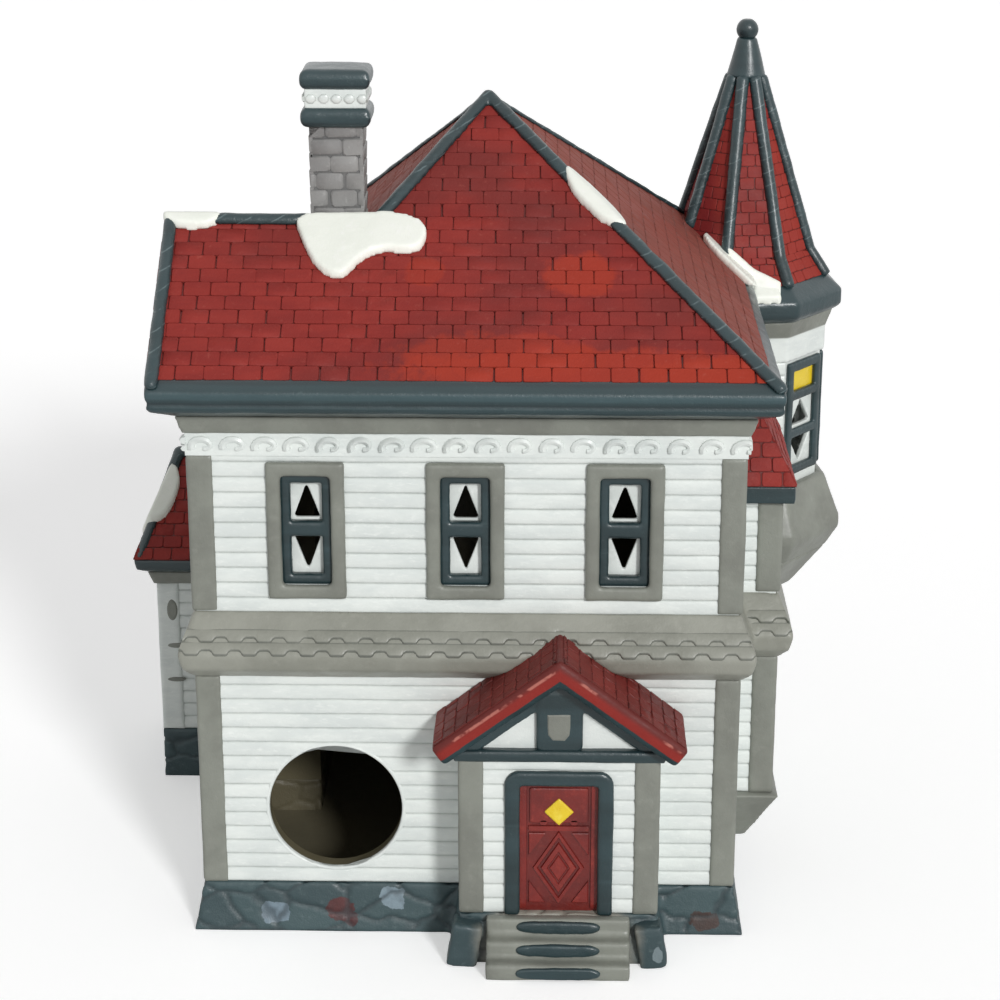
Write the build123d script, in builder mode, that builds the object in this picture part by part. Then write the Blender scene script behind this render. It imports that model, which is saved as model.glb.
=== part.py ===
import os
from math import copysign, cos, pi, sin

from build123d import *

# Plan of the house. The back with the lamp hole faces -Y, +X is to its right, and it stands on Z = 0.
block_width = 126.8
block_depth = 120.8
gable_wing_out = 18.4
gable_wing_depth = 61.0
wall_thickness = 4.0
floor_thickness = 3.0

# Storeys, from the shelf up.
foundation_height = 12.0
lower_wall_height = 54.4
skirt_height = 16.3
upper_wall_height = 38.3
frieze_height = 5.5
cornice_height = 4.5
soffit_rise = 3.0
fascia_height = 4.8
eave_bevel_height = 2.2
roof_rise = 53.8

# Foundation: a battered course of rubble that flares at the shelf.
foundation_flare = 3.4
foundation_shoulder = 2.2
foundation_shoulder_height = 5.0
foundation_top_out = 1.0

# Mouldings round the walls, as distances out from the wall face.
board_width = 5.0
board_proud = 1.0
skirt_out_side = 4.2
skirt_out_end = 6.8
skirt_under_out = 1.4
skirt_under_rise = 3.4
skirt_lip_height = 3.8
skirt_lip_batter = 0.8
skirt_top_out = 0.6
frieze_proud = 1.0
cornice_foot_out = 1.6
cornice_head_out = 3.0
eave_out_side = 8.4
eave_out_end = 10.6
fascia_batter = 0.4

# Main roof: a four-sided hip with a low gable to the left whose back slope runs on from it.
apex_across_share = 0.4545
apex_along_share = 0.5183
roof_drop = 4.8
course_rise = 2.39
course_groove_width = 0.4
course_groove_depth = 0.6
cap_radius = 1.7
front_cap_radius = 0.9
gable_panel_thickness = 3.0

# Lamp hole in the back wall, for a clip-in lamp.
lamp_hole_radius = 16.0
lamp_hole_inset = 31.6
lamp_hole_height = 32.1

# Windows of the two storeys.
window_width = 11.8
window_height = 27.0
casing_width = 3.0
casing_proud = 1.6
sash_bar = 2.0
meeting_rail = 3.0
sash_recess = 0.4
sash_thickness = 2.0
curtain_thickness = 1.2
curtain_border = 0.8
window_pitch_share = 0.2902
back_window_x = -0.3
window_sill_rise = 6.6
lower_sill_rise = 13.0
bay_window_height = 15.0
bay_sill_rise = 4.2
front_door_width = 18.0
front_door_height = 36.0

# Chimney behind the low ridge.
chimney_inset = 32.3
chimney_width = 11.8
chimney_depth = 10.0
chimney_setback = 1.5
chimney_stack_rise = 22.0
chimney_band_height = 4.3
chimney_collar_height = 4.5
chimney_crown_height = 4.2
chimney_band_out = 2.0
chimney_collar_out = 1.3
chimney_band_round = 1.6

# Entry with its gable roof, door and steps.
entry_right_inset = 41.6
entry_width = 45.2
entry_depth = 14.5
entry_lintel_height = 3.2
entry_beam_height = 2.4
entry_roof_half = 29.5
entry_roof_rise = 22.0
entry_roof_drop = 6.2
entry_roof_out = 6.5
entry_beam_out = 1.8
tympanum_thickness = 3.0
rake_trim_width = 3.2
rake_trim_proud = 1.2
vent_width = 8.6
vent_height = 8.6
vent_frame = 1.8
vent_proud = 1.6
louvre_proud = 0.8
door_width = 18.6
door_height = 33.6
door_frame_width = 3.2
door_frame_proud = 1.4
door_recess = 0.6
door_panel_depth = 0.7
door_stile = 2.6
door_diamond_share = 0.92
door_light_width = 7.0
door_light_height = 7.0
door_light_lift = 1.6
door_light_proud = 0.5
step_width = 34.0
step_length = 11.5
step_count = 3
riser_width = 20.4
riser_proud = 0.7
riser_margin = 0.3

# Two-storey bay on the right wall.
bay_back_inset = 15.0
bay_width = 40.0
bay_out = 9.9
bay_lower_height = 36.4
bay_upper_height = 23.3
bay_corbel_height = 15.0
bay_corbel_foot_out = 5.0
bay_corbel_foot_inset = 6.0
bay_corbel_head_out = 2.6
bay_fascia_height = 4.2
bay_fascia_out = 3.6
bay_roof_height = 17.3
bay_roof_inset = 9.4
bay_wall_thickness = 3.0

# Corner turret, eight-sided and turned a little; its widths are from the axis to a flat.
turret_side_out = 6.3
turret_front_inset = 8.8
turret_turn = 7
octagon_sides = 8
turret_apothem = 20.8
turret_wall_thickness = 3.0
turret_corbel_height = 12.0
turret_corbel_foot = 15.2
turret_skirt_foot = 24.0
turret_skirt_lip = 27.4
turret_skirt_height = 20.6
turret_lip_rise = 6.0
turret_lip_height = 2.6
turret_skirt_head = 23.0
turret_eave_drop = 2.0
turret_soffit_rise = 1.6
turret_frieze_height = 6.6
turret_frieze_proud = 0.9
turret_cornice_height = 4.8
turret_cornice_out = 2.6
turret_fascia_height = 5.6
turret_eave_out = 4.6
turret_bevel_height = 3.6
spire_foot = 21.2
spire_flare_height = 6.6
spire_flare_apothem = 17.0
spire_height = 45.2
spire_head_apothem = 3.6
spire_drop = 8.0
rib_radius = 1.2
spire_cap_height = 9.6
spire_cap_foot = 4.8
spire_cap_head = 2.3
finial_radius = 2.65
finial_dowel_radius = 1.1
finial_dowel_depth = 4.0
finial_seat_share = 0.85
turret_window_width = 11.0
turret_window_height = 27.0
turret_window_frame = 2.0
turret_window_proud = 1.0
turret_sill_rise = 4.8
turret_light_height = 6.0
turret_pane_thickness = 1.4
turret_window_turns = (-45, 0, 45)

# Low porch wing at the far left corner.
porch_out = 41.0
porch_depth = 35.8
porch_foundation_height = 14.0
porch_foundation_flare = 1.2
porch_wall_height = 43.0
porch_cornice_height = 4.0
porch_fascia_height = 4.5
porch_eave_out = 6.0
porch_soffit_rise = 1.5
porch_window_fall = 6.0
porch_roof_rise = 22.5
porch_hip_length = 10.0
porch_roof_drop = 4.6

# Snow lying on the roofs: the depth, and the place, plan size and turn of each drift.
snow_depth = 2.0
chimney_drift_shift = 6.1
chimney_drift_fall = 7.0
chimney_drift_length = 30.0
chimney_drift_width = 15.0
ridge_drift_length = 13.0
ridge_drift_width = 5.0
hip_drift_share = 0.36
hip_drift_shift = 1.4
hip_drift_length = 20.0
hip_drift_width = 7.0
hip_drift_turn = -47
turret_drift_left = 0.4
turret_drift_back = 21.0
turret_drift_length = 26.0
turret_drift_width = 12.0
turret_drift_turn = -42
porch_drift_length = 13.0
porch_drift_width = 8.0
porch_drift_share = 0.42
porch_drift_turn = 67

# Levels and faces that follow from the sizes above.
block_left = -block_width / 2
block_right = block_width / 2
block_back = -block_depth / 2
block_front = block_depth / 2
main_left = block_left + gable_wing_out
wing_front = block_back + gable_wing_depth
skirt_bottom = foundation_height + lower_wall_height
skirt_top = skirt_bottom + skirt_height
frieze_bottom = skirt_top + upper_wall_height
cornice_bottom = frieze_bottom + frieze_height
soffit_level = cornice_bottom + cornice_height
eave_level = soffit_level + soffit_rise + fascia_height
roof_seat = eave_level + eave_bevel_height
apex_level = eave_level + roof_rise
sky_level = apex_level + roof_rise
eave_right = block_right + eave_out_side
eave_left = main_left - eave_out_side
eave_back = block_back - eave_out_end
eave_front = block_front + eave_out_end
apex_x = eave_left + apex_across_share * (eave_right - eave_left)
apex_y = eave_back + apex_along_share * (eave_front - eave_back)
back_run = apex_y - eave_back
back_slope = roof_rise / back_run
rake_x = block_left - eave_out_side
gable_run = gable_wing_depth / 2 + eave_out_end
gable_ridge_y = block_back + gable_wing_depth / 2
gable_ridge_level = eave_level + back_slope * gable_run
gable_front_eave = wing_front + eave_out_end
ridge_end_x = eave_left + gable_run / back_run * (apex_x - eave_left)

lamp_hole_x = block_left + lamp_hole_inset
chimney_x = block_left + chimney_inset
window_pitch = window_pitch_share * block_width
front_window_x = (main_left + block_right) / 2
turret_x = block_right + turret_side_out
turret_y = block_front - turret_front_inset
entry_x = block_right - entry_right_inset
entry_wall_height = door_height + door_frame_width + entry_lintel_height
entry_left = entry_x - entry_width / 2
entry_right = entry_x + entry_width / 2
entry_face = block_back - entry_depth
bay_back = block_back + bay_back_inset
bay_front = bay_back + bay_width
bay_right = block_right + bay_out
bay_bottom = skirt_bottom - bay_lower_height
bay_top = skirt_top + bay_upper_height
porch_left = main_left - porch_out
porch_back = block_front - porch_depth

plan = [
    (block_left, block_back),
    (block_right, block_back),
    (block_right, block_front),
    (main_left, block_front),
    (main_left, wing_front),
    (block_left, wing_front),
]
entry_bump = [
    (entry_left, block_back),
    (entry_left, entry_face),
    (entry_right, entry_face),
    (entry_right, block_back),
]
bay_bump = [
    (block_right, bay_back),
    (bay_right, bay_back),
    (bay_right, bay_front),
    (block_right, bay_front),
]
foundation_plan = plan[:1] + entry_bump + plan[1:]
skirt_plan = plan[:2] + bay_bump + plan[2:]
entry_plan = [entry_bump[1], entry_bump[2], entry_bump[3], entry_bump[0]]
porch_plan = [
    (porch_left, porch_back),
    (main_left, porch_back),
    (main_left, block_front),
    (porch_left, block_front),
]


os.makedirs("parts", exist_ok=True)


def keep(piece, name):
    """Label a finished piece and write it as its own file."""
    piece.label = name
    export_step(piece, f"parts/{name}.step")


def grown(corners, out_x, out_y):
    """A square-cornered outline moved outwards, by one amount along X and another along Y."""
    points = []
    for index, (x, y) in enumerate(corners):
        before = corners[index - 1]
        after = corners[(index + 1) % len(corners)]
        x_side = copysign(1, after[1] - before[1])
        y_side = -copysign(1, after[0] - before[0])
        points.append((x + x_side * out_x, y + y_side * out_y))
    return points


def prism(plane, points, height):
    """An outline on a plane, drawn out along the plane's normal."""
    with BuildPart() as body:
        with BuildSketch(plane):
            with BuildLine():
                Polyline(*points, close=True)
            make_face()
        extrude(amount=height)
    return body.part


def tier(corners, levels):
    """Square-cornered outlines, each (out along X, out along Y, level), skinned with flat faces."""
    with BuildPart() as body:
        for out_x, out_y, level in levels:
            with BuildSketch(Plane.XY.offset(level)):
                with BuildLine():
                    Polyline(*grown(corners, out_x, out_y), close=True)
                make_face()
        loft(ruled=True)
    return body.part


def octagons(levels):
    """Turret octagons, each (axis to flat, level), skinned with flat faces."""
    with BuildPart() as body:
        for apothem, level in levels:
            with BuildSketch(Plane((turret_x, turret_y, level))):
                RegularPolygon(apothem, octagon_sides, major_radius=False, rotation=octagon_turn)
        loft(ruled=True)
    return body.part


def slab(low, high):
    """A plain block between two opposite corners."""
    with BuildPart() as body:
        with Locations(tuple((a + b) / 2 for a, b in zip(low, high))):
            Box(*[b - a for a, b in zip(low, high)])
    return body.part


def fitted(piece, *others):
    """A piece with its neighbours cut out of it."""
    with BuildPart() as body:
        add(piece)
        for other in others:
            add(other, mode=Mode.SUBTRACT)
    return body.part


def common(piece, other):
    """What two bodies share."""
    with BuildPart() as body:
        add(piece)
        add(other, mode=Mode.INTERSECT)
    return body.part


def facing(x, y, level, out_x, out_y):
    """A plane on an upright face: its X runs along the wall, its Y up, its normal out of the wall."""
    return Plane(origin=(x, y, level), x_dir=(-out_y, out_x, 0), z_dir=(out_x, out_y, 0))


# Bodies that several pieces are fitted to: the main block, the roof, the entry, the turret and the porch.
block_core = prism(Plane.XY, plan, roof_seat)
chamber = prism(Plane.XY, grown(plan, -wall_thickness, -wall_thickness), sky_level)

with BuildPart() as roof_hull:
    with BuildSketch(Plane.XZ):
        with BuildLine():
            Polyline((eave_left, eave_level), (eave_right, eave_level), (apex_x, apex_level), close=True)
        make_face()
    extrude(amount=block_depth, both=True)
    with BuildSketch(Plane.YZ):
        with BuildLine():
            Polyline((eave_back, eave_level), (eave_front, eave_level), (apex_y, apex_level), close=True)
        make_face()
    extrude(amount=block_width, both=True, mode=Mode.INTERSECT)
    with BuildSketch(Plane.YZ.offset(rake_x)):
        with BuildLine():
            Polyline(
                (eave_back, eave_level),
                (gable_front_eave, eave_level),
                (gable_ridge_y, gable_ridge_level),
                close=True,
            )
        make_face()
    extrude(amount=apex_x - rake_x)
roof_void = Pos(0, 0, -roof_drop) * roof_hull.part

entry_eave_level = foundation_height + entry_wall_height + entry_beam_height
entry_slope = entry_roof_rise / entry_roof_half
entry_beam_half = entry_width / 2 + entry_beam_out
entry_under_ridge = entry_eave_level + entry_slope * entry_beam_half
entry_ridge_level = entry_under_ridge + entry_roof_drop
entry_end_level = entry_ridge_level - entry_roof_rise
entry_end_fall = entry_roof_drop / (1 + entry_slope**2)
entry_under_half = entry_roof_half - entry_slope * entry_end_fall
entry_low_level = entry_end_level - entry_end_fall
entry_roof_length = entry_depth + entry_roof_out
entry_back_plane = Plane(origin=(entry_x, block_back, 0), x_dir=(1, 0, 0), z_dir=(0, -1, 0))
entry_hull = prism(
    entry_back_plane,
    [
        (-entry_under_half, entry_low_level),
        (entry_under_half, entry_low_level),
        (entry_roof_half, entry_end_level),
        (0, entry_ridge_level),
        (-entry_roof_half, entry_end_level),
    ],
    entry_roof_length,
)

octagon_half_turn = 180 / octagon_sides
octagon_turn = octagon_half_turn + turret_turn
turret_floor = skirt_top - turret_skirt_height
turret_soffit = soffit_level - turret_eave_drop
turret_cornice_bottom = turret_soffit - turret_cornice_height
turret_frieze_bottom = turret_cornice_bottom - turret_frieze_height
turret_eave_level = turret_soffit + turret_fascia_height
spire_level = turret_eave_level + turret_bevel_height
spire_knee = spire_level + spire_flare_height
spire_head = spire_knee + spire_height
turret_inner = turret_apothem - turret_wall_thickness
turret_cornice_head = turret_apothem + turret_cornice_out
turret_eave_apothem = turret_apothem + turret_eave_out
turret_corbel_levels = [
    (turret_corbel_foot, turret_floor - turret_corbel_height),
    (turret_skirt_foot, turret_floor),
]
turret_skirt_levels = [
    (turret_skirt_foot, turret_floor),
    (turret_skirt_lip, turret_floor + turret_lip_rise),
    (turret_skirt_lip, turret_floor + turret_lip_rise + turret_lip_height),
    (turret_skirt_head, skirt_top),
]
turret_band_levels = [
    (turret_apothem + turret_frieze_proud, turret_frieze_bottom),
    (turret_apothem + turret_frieze_proud, turret_cornice_bottom),
    (turret_cornice_head, turret_soffit),
]
turret_eave_levels = [
    (turret_cornice_head, turret_soffit),
    (turret_eave_apothem, turret_soffit + turret_soffit_rise),
    (turret_eave_apothem, turret_eave_level),
    (spire_foot, spire_level),
]
spire_levels = [
    (spire_foot, spire_level),
    (spire_flare_apothem, spire_knee),
    (spire_head_apothem, spire_head),
]
turret_core = octagons([(turret_apothem, turret_floor), (turret_apothem, turret_soffit)])
turret_void = octagons([(turret_inner, turret_floor), (turret_inner, roof_seat)])
turret_corbel_hull = octagons(turret_corbel_levels)
turret_skirt_hull = octagons(turret_skirt_levels)
turret_band_hull = octagons(turret_band_levels)
turret_eave_hull = octagons(turret_eave_levels)
spire_hull = octagons(spire_levels)
turret_stack = turret_core + turret_skirt_hull + turret_band_hull + turret_eave_hull + spire_hull
turret_hull = fitted(turret_stack, block_core)

porch_cornice_bottom = porch_foundation_height + porch_wall_height
porch_soffit = porch_cornice_bottom + porch_cornice_height
porch_eave_level = porch_soffit + porch_fascia_height
porch_ridge_level = porch_eave_level + porch_roof_rise
porch_ridge_y = block_front - porch_depth / 2
porch_half = porch_depth / 2 + porch_eave_out
porch_eave_left = porch_left - porch_eave_out
porch_hip_x = porch_eave_left + porch_hip_length
with BuildPart() as porch_hull:
    with BuildSketch(Plane.YZ.offset(main_left)):
        with BuildLine():
            Polyline(
                (porch_ridge_y - porch_half, porch_eave_level),
                (porch_ridge_y + porch_half, porch_eave_level),
                (porch_ridge_y, porch_ridge_level),
                close=True,
            )
        make_face()
    extrude(amount=porch_eave_left - main_left)
    with BuildSketch(Plane.XZ):
        with BuildLine():
            Polyline(
                (porch_eave_left, porch_eave_level),
                (main_left, porch_eave_level),
                (main_left, porch_ridge_level),
                (porch_hip_x, porch_ridge_level),
                close=True,
            )
        make_face()
    extrude(amount=block_depth, both=True, mode=Mode.INTERSECT)

# Foundation of rubble round the house and the entry, with the closed floor plate inside it.
foundation_hull = tier(
    foundation_plan,
    [
        (foundation_flare, foundation_flare, 0),
        (foundation_shoulder, foundation_shoulder, foundation_shoulder_height),
        (foundation_top_out, foundation_top_out, foundation_height),
    ],
)
foundation_inside = grown(foundation_plan, -wall_thickness, -wall_thickness)
with BuildPart() as foundation:
    add(foundation_hull)
    add(prism(Plane.XY, foundation_inside, foundation_height), mode=Mode.SUBTRACT)
keep(foundation.part, "foundation")

# Floor plate, flush with the underside of the foundation.
with BuildPart() as floor_plate:
    with BuildSketch():
        with BuildLine():
            Polyline(*foundation_inside, close=True)
        make_face()
    extrude(amount=floor_thickness)
keep(floor_plate.part, "floor_plate")

# Window places, as planes on the wall faces, and the openings cut for them.
upper_sill = skirt_top + window_sill_rise
upper_middle = upper_sill + window_height / 2
lower_middle = foundation_height + lower_sill_rise + window_height / 2
window_faces = [
    facing(back_window_x + step * window_pitch, block_back, upper_middle, 0, -1)
    for step in (-1, 0, 1)
]
for level in (lower_middle, upper_middle):
    window_faces.append(facing(front_window_x - window_pitch, block_front, level, 0, 1))
    window_faces.append(facing(block_left, gable_ridge_y, level, -1, 0))
window_faces.append(facing(front_window_x, block_front, upper_middle, 0, 1))
bay_middle_y = bay_back + bay_width / 2
bay_faces = [
    facing(bay_right, bay_middle_y, low + bay_sill_rise + bay_window_height / 2, 1, 0)
    for low in (bay_bottom, skirt_top)
]
front_door_face = facing(front_window_x, block_front, foundation_height + front_door_height / 2, 0, 1)
pane_width = window_width - 2 * sash_bar


def window_hole(faces, height, depth):
    """The rectangular openings behind a row of windows."""
    with BuildPart() as holes:
        with BuildSketch(*faces):
            Rectangle(window_width, height)
        extrude(amount=-depth)
    return holes.part


def casings(faces, height):
    """Flat frames that stand on the wall round each opening."""
    with BuildPart() as frames:
        with BuildSketch(*faces):
            Rectangle(window_width + 2 * casing_width, height + 2 * casing_width)
            Rectangle(window_width, height, mode=Mode.SUBTRACT)
        extrude(amount=casing_proud)
    return frames.part


def sashes(faces, height):
    """Two-light sashes set just inside each opening."""
    pane_height = (height - meeting_rail) / 2 - sash_bar
    pane_offset = (pane_height + meeting_rail) / 2
    with BuildPart() as frames:
        with BuildSketch(*[face.offset(-sash_recess) for face in faces]):
            Rectangle(window_width, height)
            with Locations((0, pane_offset), (0, -pane_offset)):
                Rectangle(pane_width, pane_height, mode=Mode.SUBTRACT)
        extrude(amount=-sash_thickness)
    return frames.part


def curtains(faces, height):
    """Panels behind the sashes, each cut with one triangle that points up and one that points down."""
    near = meeting_rail / 2 + curtain_border
    far = height / 2 - sash_bar - curtain_border
    half = pane_width / 2 - curtain_border
    with BuildPart() as panels:
        with BuildSketch(*[face.offset(-sash_recess - sash_thickness) for face in faces]):
            Rectangle(window_width, height)
            Polygon((-half, near), (half, near), (0, far), align=None, mode=Mode.SUBTRACT)
            Polygon((half, -near), (-half, -near), (0, -far), align=None, mode=Mode.SUBTRACT)
        extrude(amount=-curtain_thickness)
    return panels.part


wall_windows = window_hole(window_faces, window_height, wall_thickness)
bay_windows = window_hole(bay_faces, bay_window_height, bay_wall_thickness)
with BuildPart() as front_doorway:
    with BuildSketch(front_door_face):
        Rectangle(front_door_width, front_door_height)
    extrude(amount=-wall_thickness)
with BuildPart() as lamp_hole:
    with BuildSketch(facing(lamp_hole_x, block_back, lamp_hole_height, 0, -1)):
        Circle(lamp_hole_radius)
    extrude(amount=-wall_thickness)

# Walls: six plain slabs that stand on the foundation and carry the eave.
inner_left = main_left + wall_thickness
wing_inner_left = block_left + wall_thickness
inner_back = block_back + wall_thickness
inner_front = block_front - wall_thickness
wall_spans = {
    "back_wall": ((block_left, block_right), (block_back, inner_back)),
    "right_wall": ((block_right - wall_thickness, block_right), (inner_back, inner_front)),
    "front_wall": ((main_left, block_right), (inner_front, block_front)),
    "left_wall": ((main_left, inner_left), (wing_front, inner_front)),
    "wing_return_wall": ((wing_inner_left, inner_left), (wing_front - wall_thickness, wing_front)),
    "wing_side_wall": ((block_left, wing_inner_left), (inner_back, wing_front)),
}
for name, ((low_x, high_x), (low_y, high_y)) in wall_spans.items():
    wall = slab((low_x, low_y, foundation_height), (high_x, high_y, soffit_level))
    wall = fitted(wall, wall_windows, front_doorway.part, lamp_hole.part, turret_void)
    keep(wall, name)

# Skirt roof between the storeys, carried round the bay and cut where the entry, turret and porch cross it.
skirt_lip_bottom = skirt_bottom + skirt_under_rise
skirt_hull = tier(
    skirt_plan,
    [
        (skirt_under_out, skirt_under_out, skirt_bottom),
        (skirt_out_side - skirt_lip_batter, skirt_out_end - skirt_lip_batter, skirt_lip_bottom),
        (skirt_out_side, skirt_out_end, skirt_lip_bottom + skirt_lip_height),
        (skirt_top_out, skirt_top_out, skirt_top),
    ],
)
skirt_core = prism(Plane.XY, skirt_plan, skirt_top)
skirt_roof = fitted(skirt_hull, skirt_core, entry_hull, turret_hull, porch_hull.part)
keep(skirt_roof, "skirt_roof")

# Frieze, cornice and eave moulding, one above the other.
frieze_hull = tier(
    plan,
    [(frieze_proud, frieze_proud, frieze_bottom), (frieze_proud, frieze_proud, cornice_bottom)],
)
keep(fitted(frieze_hull, block_core, turret_hull), "frieze")
cornice_hull = tier(
    plan,
    [
        (cornice_foot_out, cornice_foot_out, cornice_bottom),
        (cornice_head_out, cornice_head_out, soffit_level),
    ],
)
keep(fitted(cornice_hull, block_core, turret_hull), "cornice")
eave_hull = tier(
    plan,
    [
        (cornice_head_out, cornice_head_out, soffit_level),
        (eave_out_side - fascia_batter, eave_out_end - fascia_batter, soffit_level + soffit_rise),
        (eave_out_side, eave_out_end, eave_level),
    ],
)
eave_bevel = common(
    roof_hull.part,
    slab((rake_x, eave_back, eave_level), (eave_right, eave_front, roof_seat)),
)
keep(fitted(eave_hull + eave_bevel, chamber, turret_hull), "eave_moulding")

# Main roof: one slab to each slope, meeting its neighbours over the hips, ridge and valley. The turret cuts
# the right slope in two, and what is left beyond it belongs to the front slope.
# Shallow grooves at even levels part the courses of shingles.
course_skin = fitted(roof_hull.part, Pos(0, 0, -course_groove_depth) * roof_hull.part)
with BuildPart() as course_levels:
    for course in range(1, int((apex_level - roof_seat) / course_rise)):
        groove_bottom = roof_seat + course * course_rise - course_groove_width / 2
        add(
            slab(
                (rake_x, eave_back, groove_bottom),
                (eave_right, eave_front, groove_bottom + course_groove_width),
            )
        )
with BuildPart() as roof_shell:
    add(roof_hull.part)
    add(roof_void, mode=Mode.SUBTRACT)
    add(common(course_levels.part, course_skin), mode=Mode.SUBTRACT)
    split(bisect_by=Plane.XY.offset(roof_seat), keep=Keep.TOP)
roof_apex = (apex_x, apex_y)
ridge_end = (ridge_end_x, gable_ridge_y)
back_right = (eave_right, eave_back)
front_right = (eave_right, eave_front)
front_left = (eave_left, eave_front)
valley_foot = (eave_left, gable_front_eave)
slopes = {
    "roof_back_slope": [(ridge_end_x, eave_back), back_right, roof_apex, ridge_end],
    "roof_right_slope": [back_right, front_right, roof_apex],
    "roof_front_slope": [front_right, front_left, roof_apex],
    "roof_left_slope": [front_left, valley_foot, ridge_end, roof_apex],
    "gable_back_slope": [(rake_x, eave_back), (ridge_end_x, eave_back), ridge_end, (rake_x, gable_ridge_y)],
    "gable_front_slope": [(rake_x, gable_ridge_y), ridge_end, valley_foot, (rake_x, gable_front_eave)],
}
slope_slabs = {}
for name, corners in slopes.items():
    slope = common(prism(Plane.XY, corners, sky_level), roof_shell.part)
    slope_slabs[name] = fitted(slope, turret_hull).solids().sort_by(SortBy.VOLUME)
with BuildPart() as roof_front_slope:
    add(slope_slabs.pop("roof_front_slope"))
    add(slope_slabs["roof_right_slope"][:-1])
keep(roof_front_slope.part, "roof_front_slope")
for name, slabs in slope_slabs.items():
    keep(slabs[-1], name)

# End panel of the low gable, fitted under its slopes above the side wall.
gable_panel_back = block_left + gable_panel_thickness
gable_end = slab((block_left, eave_back, roof_seat), (gable_panel_back, eave_front, sky_level))
keep(common(roof_void, gable_end), "gable_panel")

# Chimney: a brick stack behind the low ridge with three stacked bands.
chimney_back = gable_ridge_y + chimney_setback
chimney_middle_y = chimney_back + chimney_depth / 2
stack_top = gable_ridge_level + chimney_stack_rise
half_stack = chimney_width / 2
chimney_block = slab(
    (chimney_x - half_stack, chimney_back, eave_level),
    (chimney_x + half_stack, chimney_back + chimney_depth, stack_top),
)
keep(fitted(chimney_block, roof_hull.part), "chimney_stack")
collar_bottom = stack_top + chimney_band_height
collar_top = collar_bottom + chimney_collar_height


def chimney_band(level, height):
    """A rounded slate band that oversails the stack."""
    with BuildPart() as band:
        with BuildSketch(Plane((chimney_x, chimney_middle_y, level))):
            Rectangle(chimney_width + 2 * chimney_band_out, chimney_depth + 2 * chimney_band_out)
        extrude(amount=height)
        fillet(band.edges().filter_by(Axis.Z, reverse=True), chimney_band_round)
    return band.part


lower_band = chimney_band(stack_top, chimney_band_height)
crown_band = chimney_band(collar_top, chimney_crown_height)
keep(lower_band + crown_band, "chimney_bands")
with BuildPart() as chimney_collar:
    with BuildSketch(Plane((chimney_x, chimney_middle_y, collar_bottom))):
        Rectangle(chimney_width + 2 * chimney_collar_out, chimney_depth + 2 * chimney_collar_out)
    extrude(amount=chimney_collar_height)
keep(chimney_collar.part, "chimney_collar")

# Snow drifts: pads that follow the roof surface inside hand-shaped outlines.
drift_shares = [
    (-0.5, 0.29), (-0.41, -0.09), (-0.24, -0.46), (-0.14, -0.49), (-0.04, -0.3),
    (0.19, -0.07), (0.46, 0.0), (0.49, 0.2), (0.3, 0.46), (-0.14, 0.49),
]
pad_shares = [
    (0.5, 0.0), (0.3, 0.38), (0.0, 0.5), (-0.35, 0.38),
    (-0.5, 0.05), (-0.3, -0.4), (0.05, -0.5), (0.38, -0.36),
]


def drift(hull, shares, middle_x, middle_y, length, width, turn):
    """One drift: the layer just above a roof body, inside a turned outline."""
    with BuildPart() as outline:
        with BuildSketch(Plane((middle_x, middle_y, 0)).rotated((0, 0, turn))):
            with BuildLine():
                Spline(*[(u * length, v * width) for u, v in shares], periodic=True)
            make_face()
        extrude(amount=sky_level)
    layer = fitted(Pos(0, 0, snow_depth) * hull, hull)
    return common(layer, outline.part)


chimney_drift = drift(
    roof_hull.part, drift_shares, chimney_x + chimney_drift_shift, gable_ridge_y - chimney_drift_fall,
    chimney_drift_length, chimney_drift_width, 0,
)
ridge_drift = drift(
    roof_hull.part, pad_shares, rake_x + ridge_drift_length / 2, gable_ridge_y,
    ridge_drift_length, ridge_drift_width, 0,
)
hip_drift_x = apex_x + hip_drift_share * (eave_right - apex_x) + hip_drift_shift
hip_drift = drift(
    roof_hull.part, pad_shares, hip_drift_x, apex_y - hip_drift_share * back_run,
    hip_drift_length, hip_drift_width, hip_drift_turn,
)
turret_drift = drift(
    roof_hull.part + turret_eave_hull, pad_shares, turret_x - turret_drift_left, turret_y - turret_drift_back,
    turret_drift_length, turret_drift_width, turret_drift_turn,
)
porch_drift = drift(
    porch_hull.part, pad_shares,
    porch_hip_x - porch_drift_share * porch_hip_length, porch_ridge_y - porch_drift_share * porch_half,
    porch_drift_length, porch_drift_width, porch_drift_turn,
)
turret_drift = fitted(turret_drift, turret_hull, eave_hull)
snow = chimney_drift + ridge_drift + hip_drift + turret_drift + porch_drift
keep(fitted(snow, chimney_block), "snow_drifts")


# Hip, ridge and rake caps: round bars bedded along the roof's edges.
def caps(lines, radius, *neighbours):
    """Round bars from point to point, cut to what they lie on and meet."""
    with BuildPart() as bars:
        for start, finish in lines:
            run = Vector(finish) - Vector(start)
            with BuildSketch(Plane(origin=start, z_dir=run)):
                Circle(radius)
            extrude(amount=run.length)
            with Locations(start, finish):
                Sphere(radius)
    return fitted(bars.part, *neighbours)


apex_point = (apex_x, apex_y, apex_level)
ridge_end_point = (*ridge_end, gable_ridge_level)
rake_top = (rake_x + cap_radius, gable_ridge_y, gable_ridge_level)
rake_back = (rake_x + cap_radius, eave_back + cap_radius, eave_level + back_slope * cap_radius)
rake_front = (rake_x + cap_radius, gable_front_eave - cap_radius, eave_level + back_slope * cap_radius)


def hip_foot(corner):
    """The foot of a hip, held back from the eave corner by about one cap's width."""
    foot_share = cap_radius / back_run
    return (
        corner[0] + (apex_x - corner[0]) * foot_share,
        corner[1] + (apex_y - corner[1]) * foot_share,
        eave_level + roof_rise * foot_share,
    )


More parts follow.
